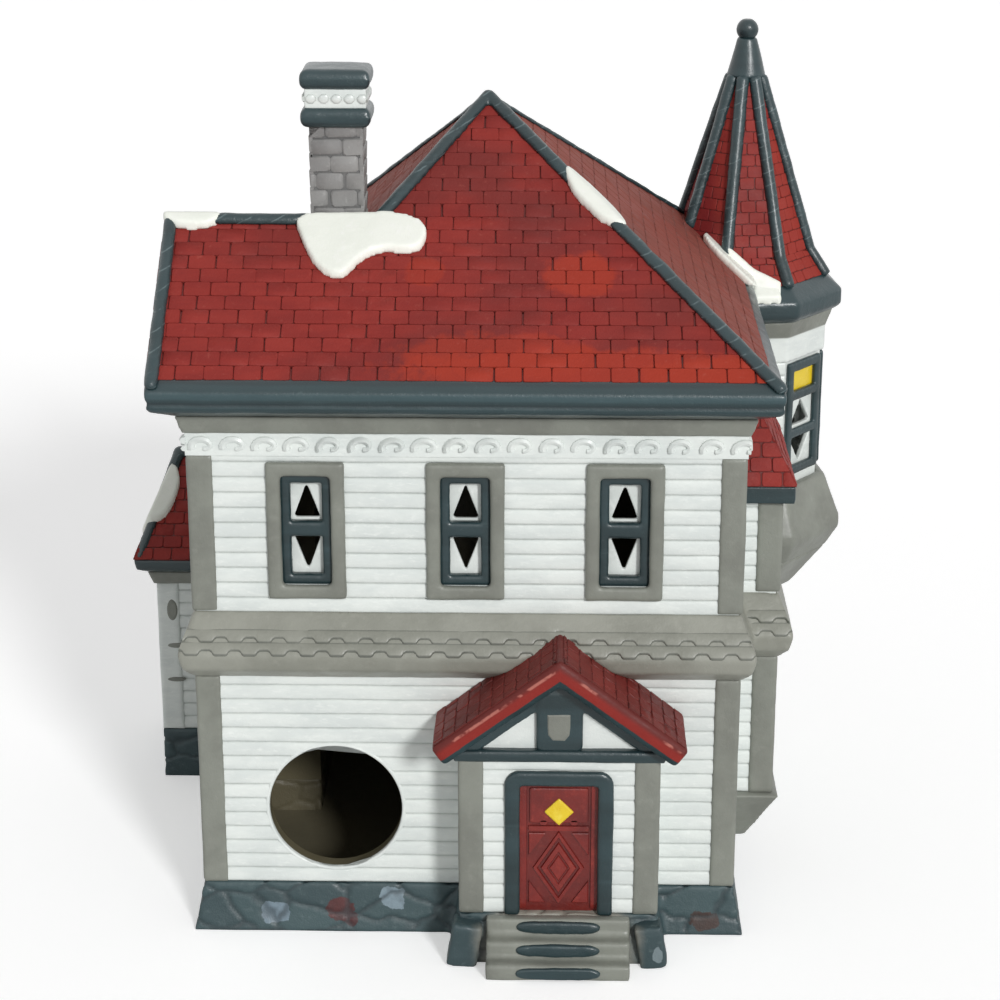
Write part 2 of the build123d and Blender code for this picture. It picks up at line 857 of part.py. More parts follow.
cap_neighbours = [
    roof_hull.part,
    eave_hull,
    turret_hull,
    chimney_block,
    snow,
    slab((rake_x - cap_radius, eave_back, 0), (rake_x, eave_front, sky_level)),
]
back_caps = caps(
    [
        (hip_foot(back_right), apex_point),
        (ridge_end_point, apex_point),
        (rake_top, ridge_end_point),
        (rake_back, rake_top),
        (rake_front, rake_top),
    ],
    cap_radius,
    *cap_neighbours,
)
front_caps = caps(
    [(hip_foot(front_right), apex_point), (hip_foot(front_left), apex_point)],
    front_cap_radius,
    *cap_neighbours,
)
roof_caps = back_caps + front_caps

# Entry: walls, flat beam, two roof slabs and the gable above the door.
door_middle = foundation_height + door_height / 2
entry_top = foundation_height + entry_wall_height
entry_plane = facing(entry_x, entry_face, 0, 0, -1)
with BuildPart() as doorway:
    with BuildSketch(facing(entry_x, entry_face, door_middle, 0, -1)):
        Rectangle(door_width, door_height)
    extrude(amount=-wall_thickness)
entry_walls = fitted(
    slab((entry_left, entry_face, foundation_height), (entry_right, block_back, entry_top)),
    slab(
        (entry_left + wall_thickness, entry_face + wall_thickness, foundation_height),
        (entry_right - wall_thickness, block_back, entry_top),
    ),
    doorway.part,
)
keep(entry_walls, "entry_walls")
keep(
    slab(
        (entry_x - entry_beam_half, entry_face - entry_beam_out, entry_top),
        (entry_x + entry_beam_half, block_back, entry_eave_level),
    ),
    "entry_beam",
)
for name, side in (("entry_roof_left", -1), ("entry_roof_right", 1)):
    profile = [
        (0, entry_under_ridge),
        (side * entry_under_half, entry_low_level),
        (side * entry_roof_half, entry_end_level),
        (0, entry_ridge_level),
    ]
    keep(prism(entry_back_plane, profile, entry_roof_length), name)
with BuildPart() as tympanum:
    with BuildSketch(entry_plane):
        with BuildLine():
            Polyline(
                (-entry_beam_half, entry_eave_level),
                (entry_beam_half, entry_eave_level),
                (0, entry_under_ridge),
                close=True,
            )
        make_face()
    extrude(amount=-tympanum_thickness)
keep(tympanum.part, "entry_tympanum")
trim_fall = rake_trim_width * (1 + entry_slope**2) ** 0.5
trim_half = entry_beam_half - trim_fall / entry_slope
with BuildPart() as rake_trim:
    with BuildSketch(entry_plane):
        with BuildLine():
            Polyline(
                (-entry_beam_half, entry_eave_level),
                (0, entry_under_ridge),
                (entry_beam_half, entry_eave_level),
                (trim_half, entry_eave_level),
                (0, entry_under_ridge - trim_fall),
                (-trim_half, entry_eave_level),
                close=True,
            )
        make_face()
    extrude(amount=rake_trim_proud)
vent_middle = entry_eave_level + vent_height / 2 + vent_frame
with BuildPart() as vent_surround:
    with BuildSketch(facing(entry_x, entry_face, vent_middle, 0, -1)):
        Ellipse(vent_width / 2 + vent_frame, vent_height / 2 + vent_frame)
        Ellipse(vent_width / 2, vent_height / 2, mode=Mode.SUBTRACT)
    extrude(amount=vent_proud)
    add(rake_trim.part, mode=Mode.SUBTRACT)
keep(rake_trim.part + vent_surround.part, "entry_gable_trim")
with BuildPart() as vent_louvre:
    with BuildSketch(facing(entry_x, entry_face, vent_middle, 0, -1)):
        Ellipse(vent_width / 2, vent_height / 2)
    extrude(amount=louvre_proud)
    add(rake_trim.part, mode=Mode.SUBTRACT)
keep(vent_louvre.part, "entry_vent_louvre")

# Entry door in its frame: a boarded slab with a diamond light above and a sunk panel below.
with BuildPart() as door_frame:
    with BuildSketch(facing(entry_x, entry_face, foundation_height, 0, -1)):
        with Locations((0, (door_height + door_frame_width) / 2)):
            Rectangle(door_width + 2 * door_frame_width, door_height + door_frame_width)
        with Locations((0, door_height / 2)):
            Rectangle(door_width, door_height, mode=Mode.SUBTRACT)
    extrude(amount=door_frame_proud)
keep(door_frame.part, "entry_door_frame")
panel_height = (door_height - 3 * door_stile) / 2
panel_width = door_width - 2 * door_stile
panel_offset = (panel_height + door_stile) / 2
diamond_reach = door_diamond_share * panel_width / 2
diamond_rise = door_diamond_share * panel_height / 2
door_plane = facing(entry_x, entry_face, door_middle, 0, -1).offset(-door_recess)
with BuildPart() as door_light:
    with BuildSketch(door_plane.offset(-door_panel_depth)):
        with Locations((0, panel_offset + door_light_lift)):
            Polygon(
                (door_light_width / 2, 0),
                (0, door_light_height / 2),
                (-door_light_width / 2, 0),
                (0, -door_light_height / 2),
                align=None,
            )
    extrude(amount=door_panel_depth + door_light_proud)
with BuildPart() as entry_door:
    with BuildSketch(door_plane):
        Rectangle(door_width, door_height)
    extrude(amount=door_recess - wall_thickness)
    with BuildSketch(door_plane):
        with Locations((0, panel_offset), (0, -panel_offset)):
            Rectangle(panel_width, panel_height)
        with Locations((0, -panel_offset)):
            Polygon(
                (diamond_reach, 0),
                (0, diamond_rise),
                (-diamond_reach, 0),
                (0, -diamond_rise),
                align=None,
                mode=Mode.SUBTRACT,
            )
    extrude(amount=-door_panel_depth, mode=Mode.SUBTRACT)
keep(entry_door.part, "entry_door")

# Entry steps up to the sill, with a slate plate on each riser.
riser_height = foundation_height / step_count
tread_depth = step_length / step_count
step_profile = [(entry_face, 0), (entry_face - step_length, 0)]
riser_faces = []
for index in range(step_count):
    front = entry_face - step_length + index * tread_depth
    step_profile.append((front, (index + 1) * riser_height))
    step_profile.append((front + tread_depth, (index + 1) * riser_height))
    riser_faces.append(facing(entry_x, front, (index + 1 / 2) * riser_height, 0, -1))
steps = prism(Plane.YZ.offset(entry_x - step_width / 2), step_profile, step_width)
keep(fitted(steps, foundation_hull), "entry_steps")
with BuildPart() as risers:
    with BuildSketch(*riser_faces):
        Rectangle(riser_width, riser_height - 2 * riser_margin)
    extrude(amount=riser_proud)
keep(risers.part, "step_risers")

# Bay on the right wall: a three-sided wall on a corbel, under its own fascia and hipped roof.
bay_walls = fitted(
    slab((block_right, bay_back, bay_bottom), (bay_right, bay_front, bay_top)),
    slab(
        (block_right, bay_back + bay_wall_thickness, bay_bottom),
        (bay_right - bay_wall_thickness, bay_front - bay_wall_thickness, bay_top),
    ),
    bay_windows,
)
keep(bay_walls, "bay_walls")
with BuildPart() as bay_corbel:
    for level, out, inset in (
        (bay_bottom - bay_corbel_height, bay_corbel_foot_out, bay_corbel_foot_inset),
        (bay_bottom, bay_out + bay_corbel_head_out, -bay_corbel_head_out),
    ):
        with BuildSketch(Plane.XY.offset(level)):
            with BuildLine():
                Polyline(
                    (block_right, bay_back + inset),
                    (block_right + out, bay_back + inset),
                    (block_right + out, bay_front - inset),
                    (block_right, bay_front - inset),
                    close=True,
                )
            make_face()
    loft(ruled=True)
keep(bay_corbel.part, "bay_corbel")
bay_roof_level = bay_top + bay_fascia_height
bay_eave = bay_right + bay_fascia_out
keep(
    slab(
        (block_right, bay_back - bay_fascia_out, bay_top),
        (bay_eave, bay_front + bay_fascia_out, bay_roof_level),
    ),
    "bay_fascia",
)
with BuildPart() as bay_roof:
    for level, inset in ((bay_roof_level, 0), (bay_roof_level + bay_roof_height, bay_roof_inset)):
        with BuildSketch(Plane.XY.offset(level)):
            with BuildLine():
                Polyline(
                    (block_right, bay_back - bay_fascia_out + inset),
                    (bay_eave - inset, bay_back - bay_fascia_out + inset),
                    (bay_eave - inset, bay_front + bay_fascia_out - inset),
                    (block_right, bay_front + bay_fascia_out - inset),
                    close=True,
                )
            make_face()
    loft(ruled=True)
keep(fitted(bay_roof.part, frieze_hull, cornice_hull, eave_hull), "bay_roof")

# Corner turret, from its corbel to the finial, fitted to the corner of the block.
turret_faces = []
for turn in turret_window_turns:
    angle = (turn + turret_turn) * pi / 180
    turret_faces.append(
        facing(
            turret_x + turret_apothem * cos(angle),
            turret_y + turret_apothem * sin(angle),
            skirt_top + turret_sill_rise + turret_window_height / 2,
            cos(angle),
            sin(angle),
        )
    )
with BuildPart() as turret_windows:
    with BuildSketch(*turret_faces):
        Rectangle(turret_window_width, turret_window_height)
    extrude(amount=-turret_wall_thickness * 2)
keep(fitted(turret_corbel_hull, block_core), "turret_corbel")
keep(fitted(turret_skirt_hull, turret_core, block_core), "turret_skirt")
keep(fitted(turret_core, turret_void, block_core, turret_windows.part), "turret_wall")
keep(fitted(turret_band_hull, turret_core, block_core), "turret_cornice")
keep(fitted(turret_eave_hull, turret_void, block_core), "turret_eave")
spire_void = Pos(0, 0, -spire_drop) * spire_hull
keep(fitted(spire_hull, spire_void, block_core), "turret_spire")
spire_corner_share = 1 / cos(pi / octagon_sides)
with BuildPart() as spire_ribs:
    for index in range(octagon_sides):
        angle = (index * 2 * octagon_half_turn + octagon_turn) * pi / 180
        points = [
            (
                turret_x + apothem * spire_corner_share * cos(angle),
                turret_y + apothem * spire_corner_share * sin(angle),
                level,
            )
            for apothem, level in spire_levels
        ]
        for start, finish in zip(points, points[1:]):
            run = Vector(finish) - Vector(start)
            with BuildSketch(Plane(origin=start, z_dir=run)):
                Circle(rib_radius)
            extrude(amount=run.length)
        with Locations(points[1]):
            Sphere(rib_radius)
cap_top = spire_head + spire_cap_height
with BuildPart() as spire_cap:
    with BuildSketch(Plane((turret_x, turret_y, spire_head))):
        Circle(spire_cap_foot)
    with BuildSketch(Plane((turret_x, turret_y, cap_top))):
        Circle(spire_cap_head)
    loft()
    with BuildSketch(Plane((turret_x, turret_y, cap_top))):
        Circle(finial_dowel_radius)
    extrude(amount=-finial_dowel_depth, mode=Mode.SUBTRACT)
keep(spire_cap.part, "spire_cap")
below_cap = slab(
    (turret_x - block_width, turret_y - block_width, spire_level),
    (turret_x + block_width, turret_y + block_width, spire_head),
)
ribs = common(spire_ribs.part, below_cap)
ribs = fitted(ribs, spire_hull, turret_eave_hull, roof_hull.part, eave_hull, roof_caps, snow, block_core)
keep(ribs, "spire_ribs")
with BuildPart() as finial:
    with Locations((turret_x, turret_y, cap_top + finial_radius * finial_seat_share)):
        Sphere(finial_radius)
    split(bisect_by=Plane.XY.offset(cap_top), keep=Keep.TOP)
    with BuildSketch(Plane((turret_x, turret_y, cap_top))):
        Circle(finial_dowel_radius)
    extrude(amount=-finial_dowel_depth)
keep(finial.part, "spire_finial")

# Turret windows: slate frames with a yellow light over two curtained panes.
turret_pane_area = turret_window_height - turret_light_height
turret_pane_height = (turret_pane_area - 2 * turret_window_frame) / 2
turret_light_middle = (turret_window_height - turret_light_height) / 2
turret_pane_middles = [
    turret_pane_area - turret_window_height / 2 - turret_window_frame - (step + 1 / 2) * turret_pane_height
    - step * turret_window_frame
    for step in (0, 1)
]
with BuildPart() as turret_window_frames:
    with BuildSketch(*turret_faces):
        Rectangle(
            turret_window_width + 2 * turret_window_frame,
            turret_window_height + 2 * turret_window_frame,
        )
        with Locations((0, turret_light_middle)):
            Rectangle(turret_window_width, turret_light_height, mode=Mode.SUBTRACT)
        with Locations(*[(0, middle) for middle in turret_pane_middles]):
            Rectangle(turret_window_width, turret_pane_height, mode=Mode.SUBTRACT)
    extrude(amount=turret_window_proud)
with BuildPart() as turret_lights:
    with BuildSketch(*turret_faces):
        with Locations((0, turret_light_middle)):
            Rectangle(turret_window_width, turret_light_height)
    extrude(amount=-turret_pane_thickness)
keep(turret_lights.part + door_light.part, "yellow_lights")
turret_reach = turret_window_width / 2 - curtain_border
turret_rise = turret_pane_height / 2 - curtain_border
with BuildPart() as turret_curtains:
    with BuildSketch(*turret_faces):
        with Locations((0, -turret_light_height / 2)):
            Rectangle(turret_window_width, turret_pane_area)
        for middle, up in zip(turret_pane_middles, (1, -1)):
            Polygon(
                (-turret_reach, middle - up * turret_rise),
                (turret_reach, middle - up * turret_rise),
                (0, middle + up * turret_rise),
                align=None,
                mode=Mode.SUBTRACT,
            )
    extrude(amount=-turret_pane_thickness)

# Low porch wing: foundation, walls, cornice, eave and hipped roof against the left wall.
porch_foundation_hull = tier(
    porch_plan,
    [
        (porch_foundation_flare, porch_foundation_flare, 0),
        (foundation_top_out, foundation_top_out, porch_foundation_height),
    ],
)
porch_pan = prism(
    Plane.XY.offset(floor_thickness),
    grown(porch_plan, -wall_thickness, -wall_thickness),
    porch_foundation_height,
)
keep(fitted(porch_foundation_hull, porch_pan, block_core, foundation_hull), "porch_foundation")
porch_shell = slab(
    (porch_left, porch_back, porch_foundation_height),
    (main_left, block_front, porch_cornice_bottom),
)
porch_inside = slab(
    (porch_left + wall_thickness, porch_back + wall_thickness, porch_foundation_height),
    (main_left, block_front - wall_thickness, sky_level),
)
porch_window_middle = porch_cornice_bottom - porch_window_fall - bay_window_height / 2
porch_window_face = facing((porch_left + main_left) / 2, porch_back, porch_window_middle, 0, -1)
porch_windows = window_hole([porch_window_face], bay_window_height, wall_thickness)
keep(fitted(porch_shell, porch_inside, porch_windows), "porch_walls")
porch_cornice_hull = tier(
    porch_plan,
    [
        (cornice_foot_out, cornice_foot_out, porch_cornice_bottom),
        (cornice_head_out, cornice_head_out, porch_soffit),
    ],
)
keep(fitted(porch_cornice_hull, porch_inside, block_core), "porch_cornice")
porch_eave_hull = tier(
    porch_plan,
    [
        (cornice_head_out, cornice_head_out, porch_soffit),
        (porch_eave_out - fascia_batter, porch_eave_out - fascia_batter, porch_soffit + porch_soffit_rise),
        (porch_eave_out, porch_eave_out, porch_eave_level),
    ],
)
keep(fitted(porch_eave_hull, porch_inside, block_core, skirt_roof), "porch_eave")
porch_roof_void = Pos(0, 0, -porch_roof_drop) * porch_hull.part
keep(fitted(porch_hull.part, porch_roof_void), "porch_roof")
porch_top = (porch_hip_x, porch_ridge_y, porch_ridge_level)
porch_foot_x = porch_eave_left + cap_radius
porch_foot_reach = porch_half - cap_radius
porch_caps = caps(
    [
        (porch_top, (main_left - cap_radius, porch_ridge_y, porch_ridge_level)),
        ((porch_foot_x, porch_ridge_y - porch_foot_reach, porch_eave_level), porch_top),
        ((porch_foot_x, porch_ridge_y + porch_foot_reach, porch_eave_level), porch_top),
    ],
    cap_radius,
    porch_hull.part,
    porch_eave_hull,
    snow,
    skirt_roof,
    block_core,
)
keep(roof_caps + porch_caps, "roof_caps")

# Windows and the front door of the block, bay and porch.
small_faces = bay_faces + [porch_window_face]
keep(casings(window_faces, window_height) + casings(small_faces, bay_window_height), "window_casings")
wall_sashes = sashes(window_faces, window_height) + sashes(small_faces, bay_window_height)
keep(wall_sashes + turret_window_frames.part, "window_sashes")
wall_curtains = curtains(window_faces, window_height) + curtains(small_faces, bay_window_height)
keep(wall_curtains + turret_curtains.part, "window_curtains")
with BuildPart() as front_door:
    with BuildSketch(front_door_face.offset(-door_recess)):
        Rectangle(front_door_width, front_door_height)
    extrude(amount=door_recess - wall_thickness)
keep(front_door.part, "front_door")


# Corner boards on the outer corners of the block, entry, bay and porch.
def boards(corners, chosen, low, high):
    """Flat boards that wrap the chosen corners of an outline between two levels."""
    with BuildPart() as squares:
        with Locations(*[(*corners[index], (low + high) / 2) for index in chosen]):
            Box(2 * board_width, 2 * board_width, high - low)
    ring = tier(corners, [(board_proud, board_proud, low), (board_proud, board_proud, high)])
    return common(fitted(ring, prism(Plane.XY, corners, high)), squares.part)


corner_boards = (
    boards(plan, (0, 1, 2, 5), foundation_height, skirt_bottom)
    + boards(plan, (0, 1, 3, 5), skirt_top, frieze_bottom)
    + boards(entry_plan, (0, 1), foundation_height, entry_top)
    + boards(skirt_plan, (3, 4), bay_bottom, skirt_bottom)
    + boards(skirt_plan, (3, 4), skirt_top, bay_top)
    + boards(porch_plan, (0, 3), porch_foundation_height, porch_cornice_bottom)
)
keep(fitted(corner_boards, turret_hull, turret_corbel_hull, porch_hull.part), "corner_boards")
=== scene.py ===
import math

import bmesh
import bpy
from mathutils import Matrix, Vector
from mathutils.geometry import convex_hull_2d


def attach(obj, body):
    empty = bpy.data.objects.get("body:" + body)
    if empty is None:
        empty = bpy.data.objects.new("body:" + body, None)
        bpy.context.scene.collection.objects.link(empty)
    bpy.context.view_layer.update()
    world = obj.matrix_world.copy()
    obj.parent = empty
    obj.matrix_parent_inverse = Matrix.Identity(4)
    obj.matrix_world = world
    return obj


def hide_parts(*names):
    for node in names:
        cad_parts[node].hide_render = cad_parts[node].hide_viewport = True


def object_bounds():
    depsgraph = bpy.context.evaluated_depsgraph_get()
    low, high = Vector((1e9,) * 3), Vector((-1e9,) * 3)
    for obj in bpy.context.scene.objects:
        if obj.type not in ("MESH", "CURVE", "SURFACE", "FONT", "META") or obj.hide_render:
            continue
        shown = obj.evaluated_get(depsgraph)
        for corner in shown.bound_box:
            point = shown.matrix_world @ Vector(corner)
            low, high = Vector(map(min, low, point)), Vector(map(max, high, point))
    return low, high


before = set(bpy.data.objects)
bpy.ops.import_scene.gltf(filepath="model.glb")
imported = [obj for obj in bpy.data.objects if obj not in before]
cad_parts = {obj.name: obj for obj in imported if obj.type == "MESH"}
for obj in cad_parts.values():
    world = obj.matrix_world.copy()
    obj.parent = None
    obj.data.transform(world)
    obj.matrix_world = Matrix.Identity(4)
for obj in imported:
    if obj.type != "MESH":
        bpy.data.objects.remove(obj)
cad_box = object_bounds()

mm = 0.001
scene = bpy.context.scene
scene.view_settings.view_transform = "Standard"

# Studio: a wide pale floor for the house to stand on, a broad soft lamp to the right of the camera
# and an even white sky. The camera looks at the back of the house from a little above.
floor_mesh = bpy.data.meshes.new("studio_floor")
floor_mesh.from_pydata([(-6, -6, 0), (6, -6, 0), (6, 6, 0), (-6, 6, 0)], [], [(0, 1, 2, 3)])
floor_paint = bpy.data.materials.new("studio_floor")
floor_paint.use_nodes = True
floor_shader = floor_paint.node_tree.nodes["Principled BSDF"]
floor_shader.inputs["Base Color"].default_value = (0.93, 0.93, 0.93, 1)
floor_shader.inputs["Roughness"].default_value = 0.9
floor_shader.inputs["Emission Strength"].default_value = 1.0
floor_path = floor_paint.node_tree.nodes.new("ShaderNodeLightPath")
floor_lift = floor_paint.node_tree.nodes.new("ShaderNodeMapRange")
floor_lift.inputs["To Max"].default_value = 0.38
floor_paint.node_tree.links.new(floor_path.outputs["Is Camera Ray"], floor_lift.inputs["Value"])
floor_paint.node_tree.links.new(floor_lift.outputs["Result"], floor_shader.inputs["Emission Color"])
floor_mesh.materials.append(floor_paint)
studio_floor = bpy.data.objects.new("studio_floor", floor_mesh)
scene.collection.objects.link(studio_floor)

sky = bpy.data.worlds.new("even_sky")
scene.world = sky
sky.use_nodes = True
sky_nodes = sky.node_tree.nodes
sky_path = sky_nodes.new("ShaderNodeLightPath")
sky_seen = sky_nodes.new("ShaderNodeMath")
sky_seen.operation = "MAXIMUM"
sky.node_tree.links.new(sky_path.outputs["Is Camera Ray"], sky_seen.inputs[0])
sky.node_tree.links.new(sky_path.outputs["Is Transmission Ray"], sky_seen.inputs[1])
sky_shown = sky_nodes.new("ShaderNodeMath")
sky_shown.operation = "MAXIMUM"
sky.node_tree.links.new(sky_seen.outputs[0], sky_shown.inputs[0])
sky.node_tree.links.new(sky_path.outputs["Is Glossy Ray"], sky_shown.inputs[1])
sky_strength = sky_nodes.new("ShaderNodeMapRange")
sky_strength.inputs["To Min"].default_value = 0.4
sky_strength.inputs["To Max"].default_value = 1.0
sky.node_tree.links.new(sky_shown.outputs[0], sky_strength.inputs["Value"])
sky.node_tree.links.new(sky_strength.outputs["Result"], sky_nodes["Background"].inputs["Strength"])
sky_nodes["Background"].inputs["Color"].default_value = (1, 1, 1, 1)

key_lamp = bpy.data.lights.new("key_lamp", "SUN")
key_lamp.energy = 1.95
key_lamp.angle = 0.16
key_light = bpy.data.objects.new("key_lamp", key_lamp)
key_light.rotation_euler = Vector((-0.46, 1.0, -0.5)).to_track_quat("-Z", "Y").to_euler()
scene.collection.objects.link(key_light)

lens = bpy.data.cameras.new("camera")
lens.lens = 89.14
lens.sensor_width = 36
camera = bpy.data.objects.new("camera", lens)
camera.location = (0.01953, -0.59884, 0.29618)
camera.rotation_euler = (math.radians(90 - 19.031), 0, math.radians(1.258))
scene.collection.objects.link(camera)
scene.camera = camera


# Foundation: a low course of rubble, pressed in the mould and glazed a dark slate green, with flat stones
# standing a little proud of it and a few stones picked out in other colours.
class Wire:
    """A socket in a node tree. Sums and products of wires add Math nodes to the same tree."""

    def __init__(self, tree, socket):
        self.tree = tree
        self.socket = socket

    def node(self, kind, settings, sockets, out=0):
        """A new node in this tree: its settings first, then the values or wires of its sockets."""
        made = self.tree.nodes.new(kind)
        for name, value in settings.items():
            setattr(made, name, value)
        for name, value in sockets.items():
            if isinstance(value, Wire):
                self.tree.links.new(value.socket, made.inputs[name])
            else:
                made.inputs[name].default_value = value
        return Wire(self.tree, made.outputs[out])

    def maths(self, operation, first, second):
        return self.node("ShaderNodeMath", {"operation": operation}, {0: first, 1: second})

    def vectors(self, operation, first, second):
        return self.node("ShaderNodeVectorMath", {"operation": operation}, {0: first, 1: second})

    def scaled(self, factor):
        return self.node("ShaderNodeVectorMath", {"operation": "SCALE"}, {0: self, "Scale": factor})

    def __add__(self, other):
        return self.maths("ADD", self, other)

    def __radd__(self, other):
        return self.maths("ADD", other, self)

    def __sub__(self, other):
        return self.maths("SUBTRACT", self, other)

    def __rsub__(self, other):
        return self.maths("SUBTRACT", other, self)

    def __mul__(self, other):
        return self.maths("MULTIPLY", self, other)

    def __rmul__(self, other):
        return self.maths("MULTIPLY", other, self)

    def __truediv__(self, other):
        return self.maths("DIVIDE", self, other)


def tone(red, green, blue):
    """A screen colour, 0 to 255, as the linear colour that a shader takes."""
    return tuple(
        (c / 255 / 12.92) if c / 255 <= 0.04045 else ((c / 255 + 0.055) / 1.055) ** 2.4
        for c in (red, green, blue)
    ) + (1.0,)


def noise(place, scale, detail=3.0, stretch=(1, 1, 1)):
    """Soft random patches, as many to the metre as scale says, drawn out along an axis by stretch."""
    drawn = place.node("ShaderNodeMapping", {}, {"Vector": place, "Scale": stretch})
    return drawn.node(
        "ShaderNodeTexNoise", {}, {"Vector": drawn, "Scale": scale, "Detail": detail, "Roughness": 0.6}
    )


def axis_of(place, axis):
    """How far a place lies along an axis: 0 across the house, 1 from back to front and 2 up."""
    return place.node("ShaderNodeSeparateXYZ", {}, {"Vector": place}, axis)


def marked(place, name):
    """A value that the mesh carries: the tint of one tile or stone, or the wash in its grooves."""
    return place.node("ShaderNodeAttribute", {"attribute_name": name}, {}, "Fac")


def between(factor, low, high):
    """One colour turning into another as the factor goes from 0 to 1."""
    return factor.node("ShaderNodeMix", {"data_type": "RGBA"}, {0: factor, 6: low, 7: high}, 2)


def ramped(value, low, high):
    """A value stretched so that low becomes 0 and high becomes 1, smoothly."""
    return value.node(
        "ShaderNodeMapRange",
        {"interpolation_type": "SMOOTHSTEP"},
        {"Value": value, "From Min": low, "From Max": high},
    )


def glaze(name, colour, roughness, coat, relief, shine=0.5):
    """A fired glaze. colour takes the place on the piece and gives the colour, as wires."""
    made = bpy.data.materials.new(name)
    made.use_nodes = True
    tree = made.node_tree
    shader = tree.nodes["Principled BSDF"]
    place = Wire(tree, tree.nodes.new("ShaderNodeTexCoord").outputs["Object"])
    tree.links.new(colour(place).socket, shader.inputs["Base Color"])
    pooled = noise(place, 160, 4)
    finish = roughness[0] + (roughness[1] - roughness[0]) * ramped(pooled, 0.3, 0.7)
    tree.links.new(finish.socket, shader.inputs["Roughness"])
    shader.inputs["Specular IOR Level"].default_value = shine
    shader.inputs["Coat Weight"].default_value = coat
    shader.inputs["Coat Roughness"].default_value = 0.25
    grit = 0.6 * noise(place, 900, 3) + 0.4 * noise(place, 2600, 2)
    bump = grit.node("ShaderNodeBump", {}, {"Strength": 0.35, "Distance": relief, "Height": grit})
    tree.links.new(bump.socket, shader.inputs["Normal"])
    return made


def brushed(dark, middle, light, stretch=(1, 1, 1), flecks=0.7):
    """Brush-painted colour: broad washes from dark to middle, with light dry-brushed flecks."""

    def colour(place):
        wash = ramped(noise(place, 70, 4, stretch), 0.32, 0.66)
        fleck = ramped(noise(place, 420, 4, stretch), 0.52, 0.78)
        return between(flecks * fleck, between(wash, dark, middle), light)

    return colour


def plain_mesh(carrier):
    """The mesh that an object's modifiers give, with the object itself removed."""
    ready = carrier.evaluated_get(bpy.context.evaluated_depsgraph_get())
    mesh = bpy.data.meshes.new_from_object(ready)
    bpy.data.objects.remove(carrier)
    return mesh


def finished(name, mesh, material, slot, *nodes):
    """A piece at its place: it rides with the house and stands for the solids it is named with.
    What a skin swells past the ends of the house is drawn back to them."""
    mesh.name = name
    for vert in mesh.vertices:
        vert.co = [min(max(place, low), high) for place, low, high in zip(vert.co, *cad_box)]
    mesh.materials.clear()
    mesh.materials.append(material)
    piece = bpy.data.objects.new(name, mesh)
    scene.collection.objects.link(piece)
    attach(piece, "root")
    if nodes:
        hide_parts(*nodes)


def group_inputs(name, **kinds):
    """A new node group with named inputs, each of a kind of socket, and the wires of these inputs."""
    tree = bpy.data.node_groups.new(name, "GeometryNodeTree")
    for label, kind in kinds.items():
        tree.interface.new_socket(label, in_out="INPUT", socket_type="NodeSocket" + kind)
    tree.interface.new_socket("Geometry", in_out="OUTPUT", socket_type="NodeSocketGeometry")
    given = tree.nodes.new("NodeGroupInput")
    return {socket.name: Wire(tree, socket) for socket in given.outputs if socket.name}


def group_of(result):
    """The node group that ends in a result."""
    end = result.tree.nodes.new("NodeGroupOutput")
    result.tree.links.new(result.socket, end.inputs["Geometry"])
    return result.tree


def hand_worked():
    """A node group that pushes a skin in and out a little, as hands and brushes leave it."""
    wire = group_inputs("hand_worked", Geometry="Geometry", Waver="Float", Lumps="Float", Swell="Float")
    skin = wire["Geometry"]
    lumps = skin.node("ShaderNodeTexNoise", {}, {"Scale": wire["Lumps"], "Detail": 2.0})
    height = (lumps - 0.5) * wire["Waver"] + wire["Swell"]
    out = skin.node("GeometryNodeInputNormal", {}, {})
    push = out.scaled(height)
    return group_of(skin.node("GeometryNodeSetPosition", {}, {"Geometry": skin, "Offset": push}))


def set_inputs(modifier, values):
    """Give a node group's modifier its named input values."""
    for item in modifier.node_group.interface.items_tree:
        if item.item_type == "SOCKET" and item.in_out == "INPUT" and item.name in values:
            modifier[item.identifier] = values[item.name]


worked_skin = hand_worked()


def as_mesh(name, form):
    """A worked form made into a mesh."""
    mesh = bpy.data.meshes.new(name)
    form.to_mesh(mesh)
    form.free()
    return mesh


def cast_of(nodes):
    """A copy of the solids with their loose triangles joined."""
    form = bmesh.new()
    for node in nodes:
        form.from_mesh(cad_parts[node].data)
    bmesh.ops.remove_doubles(form, verts=form.verts, dist=1e-6)
    return as_mesh("fired", form)


def fired(nodes, fineness, rounds, waver=0.0, lumps=90.0, swell=0.0, mesh=None, kept=0.5):
    """The solids as one fired skin: edges softened as glaze softens them, faces slightly uneven.
    kept is the share of its faces that is left where they are flat."""
    carrier = bpy.data.objects.new("fired", mesh or cast_of(nodes))
    scene.collection.objects.link(carrier)
    cast = carrier.modifiers.new("cast", "REMESH")
    cast.mode = "VOXEL"
    cast.voxel_size = fineness
    soft = carrier.modifiers.new("soft", "SMOOTH")
    soft.factor = 0.5
    soft.iterations = rounds
    if waver:
        worked = carrier.modifiers.new("worked", "NODES")
        worked.node_group = worked_skin
        set_inputs(worked, {"Waver": waver, "Lumps": lumps, "Swell": swell})
    thin = carrier.modifiers.new("thin", "DECIMATE")
    thin.ratio = kept
    skin = plain_mesh(carrier)
    skin.shade_smooth()
    return skin


def skinned(node, material, slot, fineness, rounds, waver, lumps, swell=0.0):
    """One solid's fired skin, in its place. Fineness, waver and swell are in millimetres."""
    skin = fired([node], fineness * mm, rounds, waver * mm, lumps, swell * mm)
    finished(node + "_skin", skin, material, slot, node)


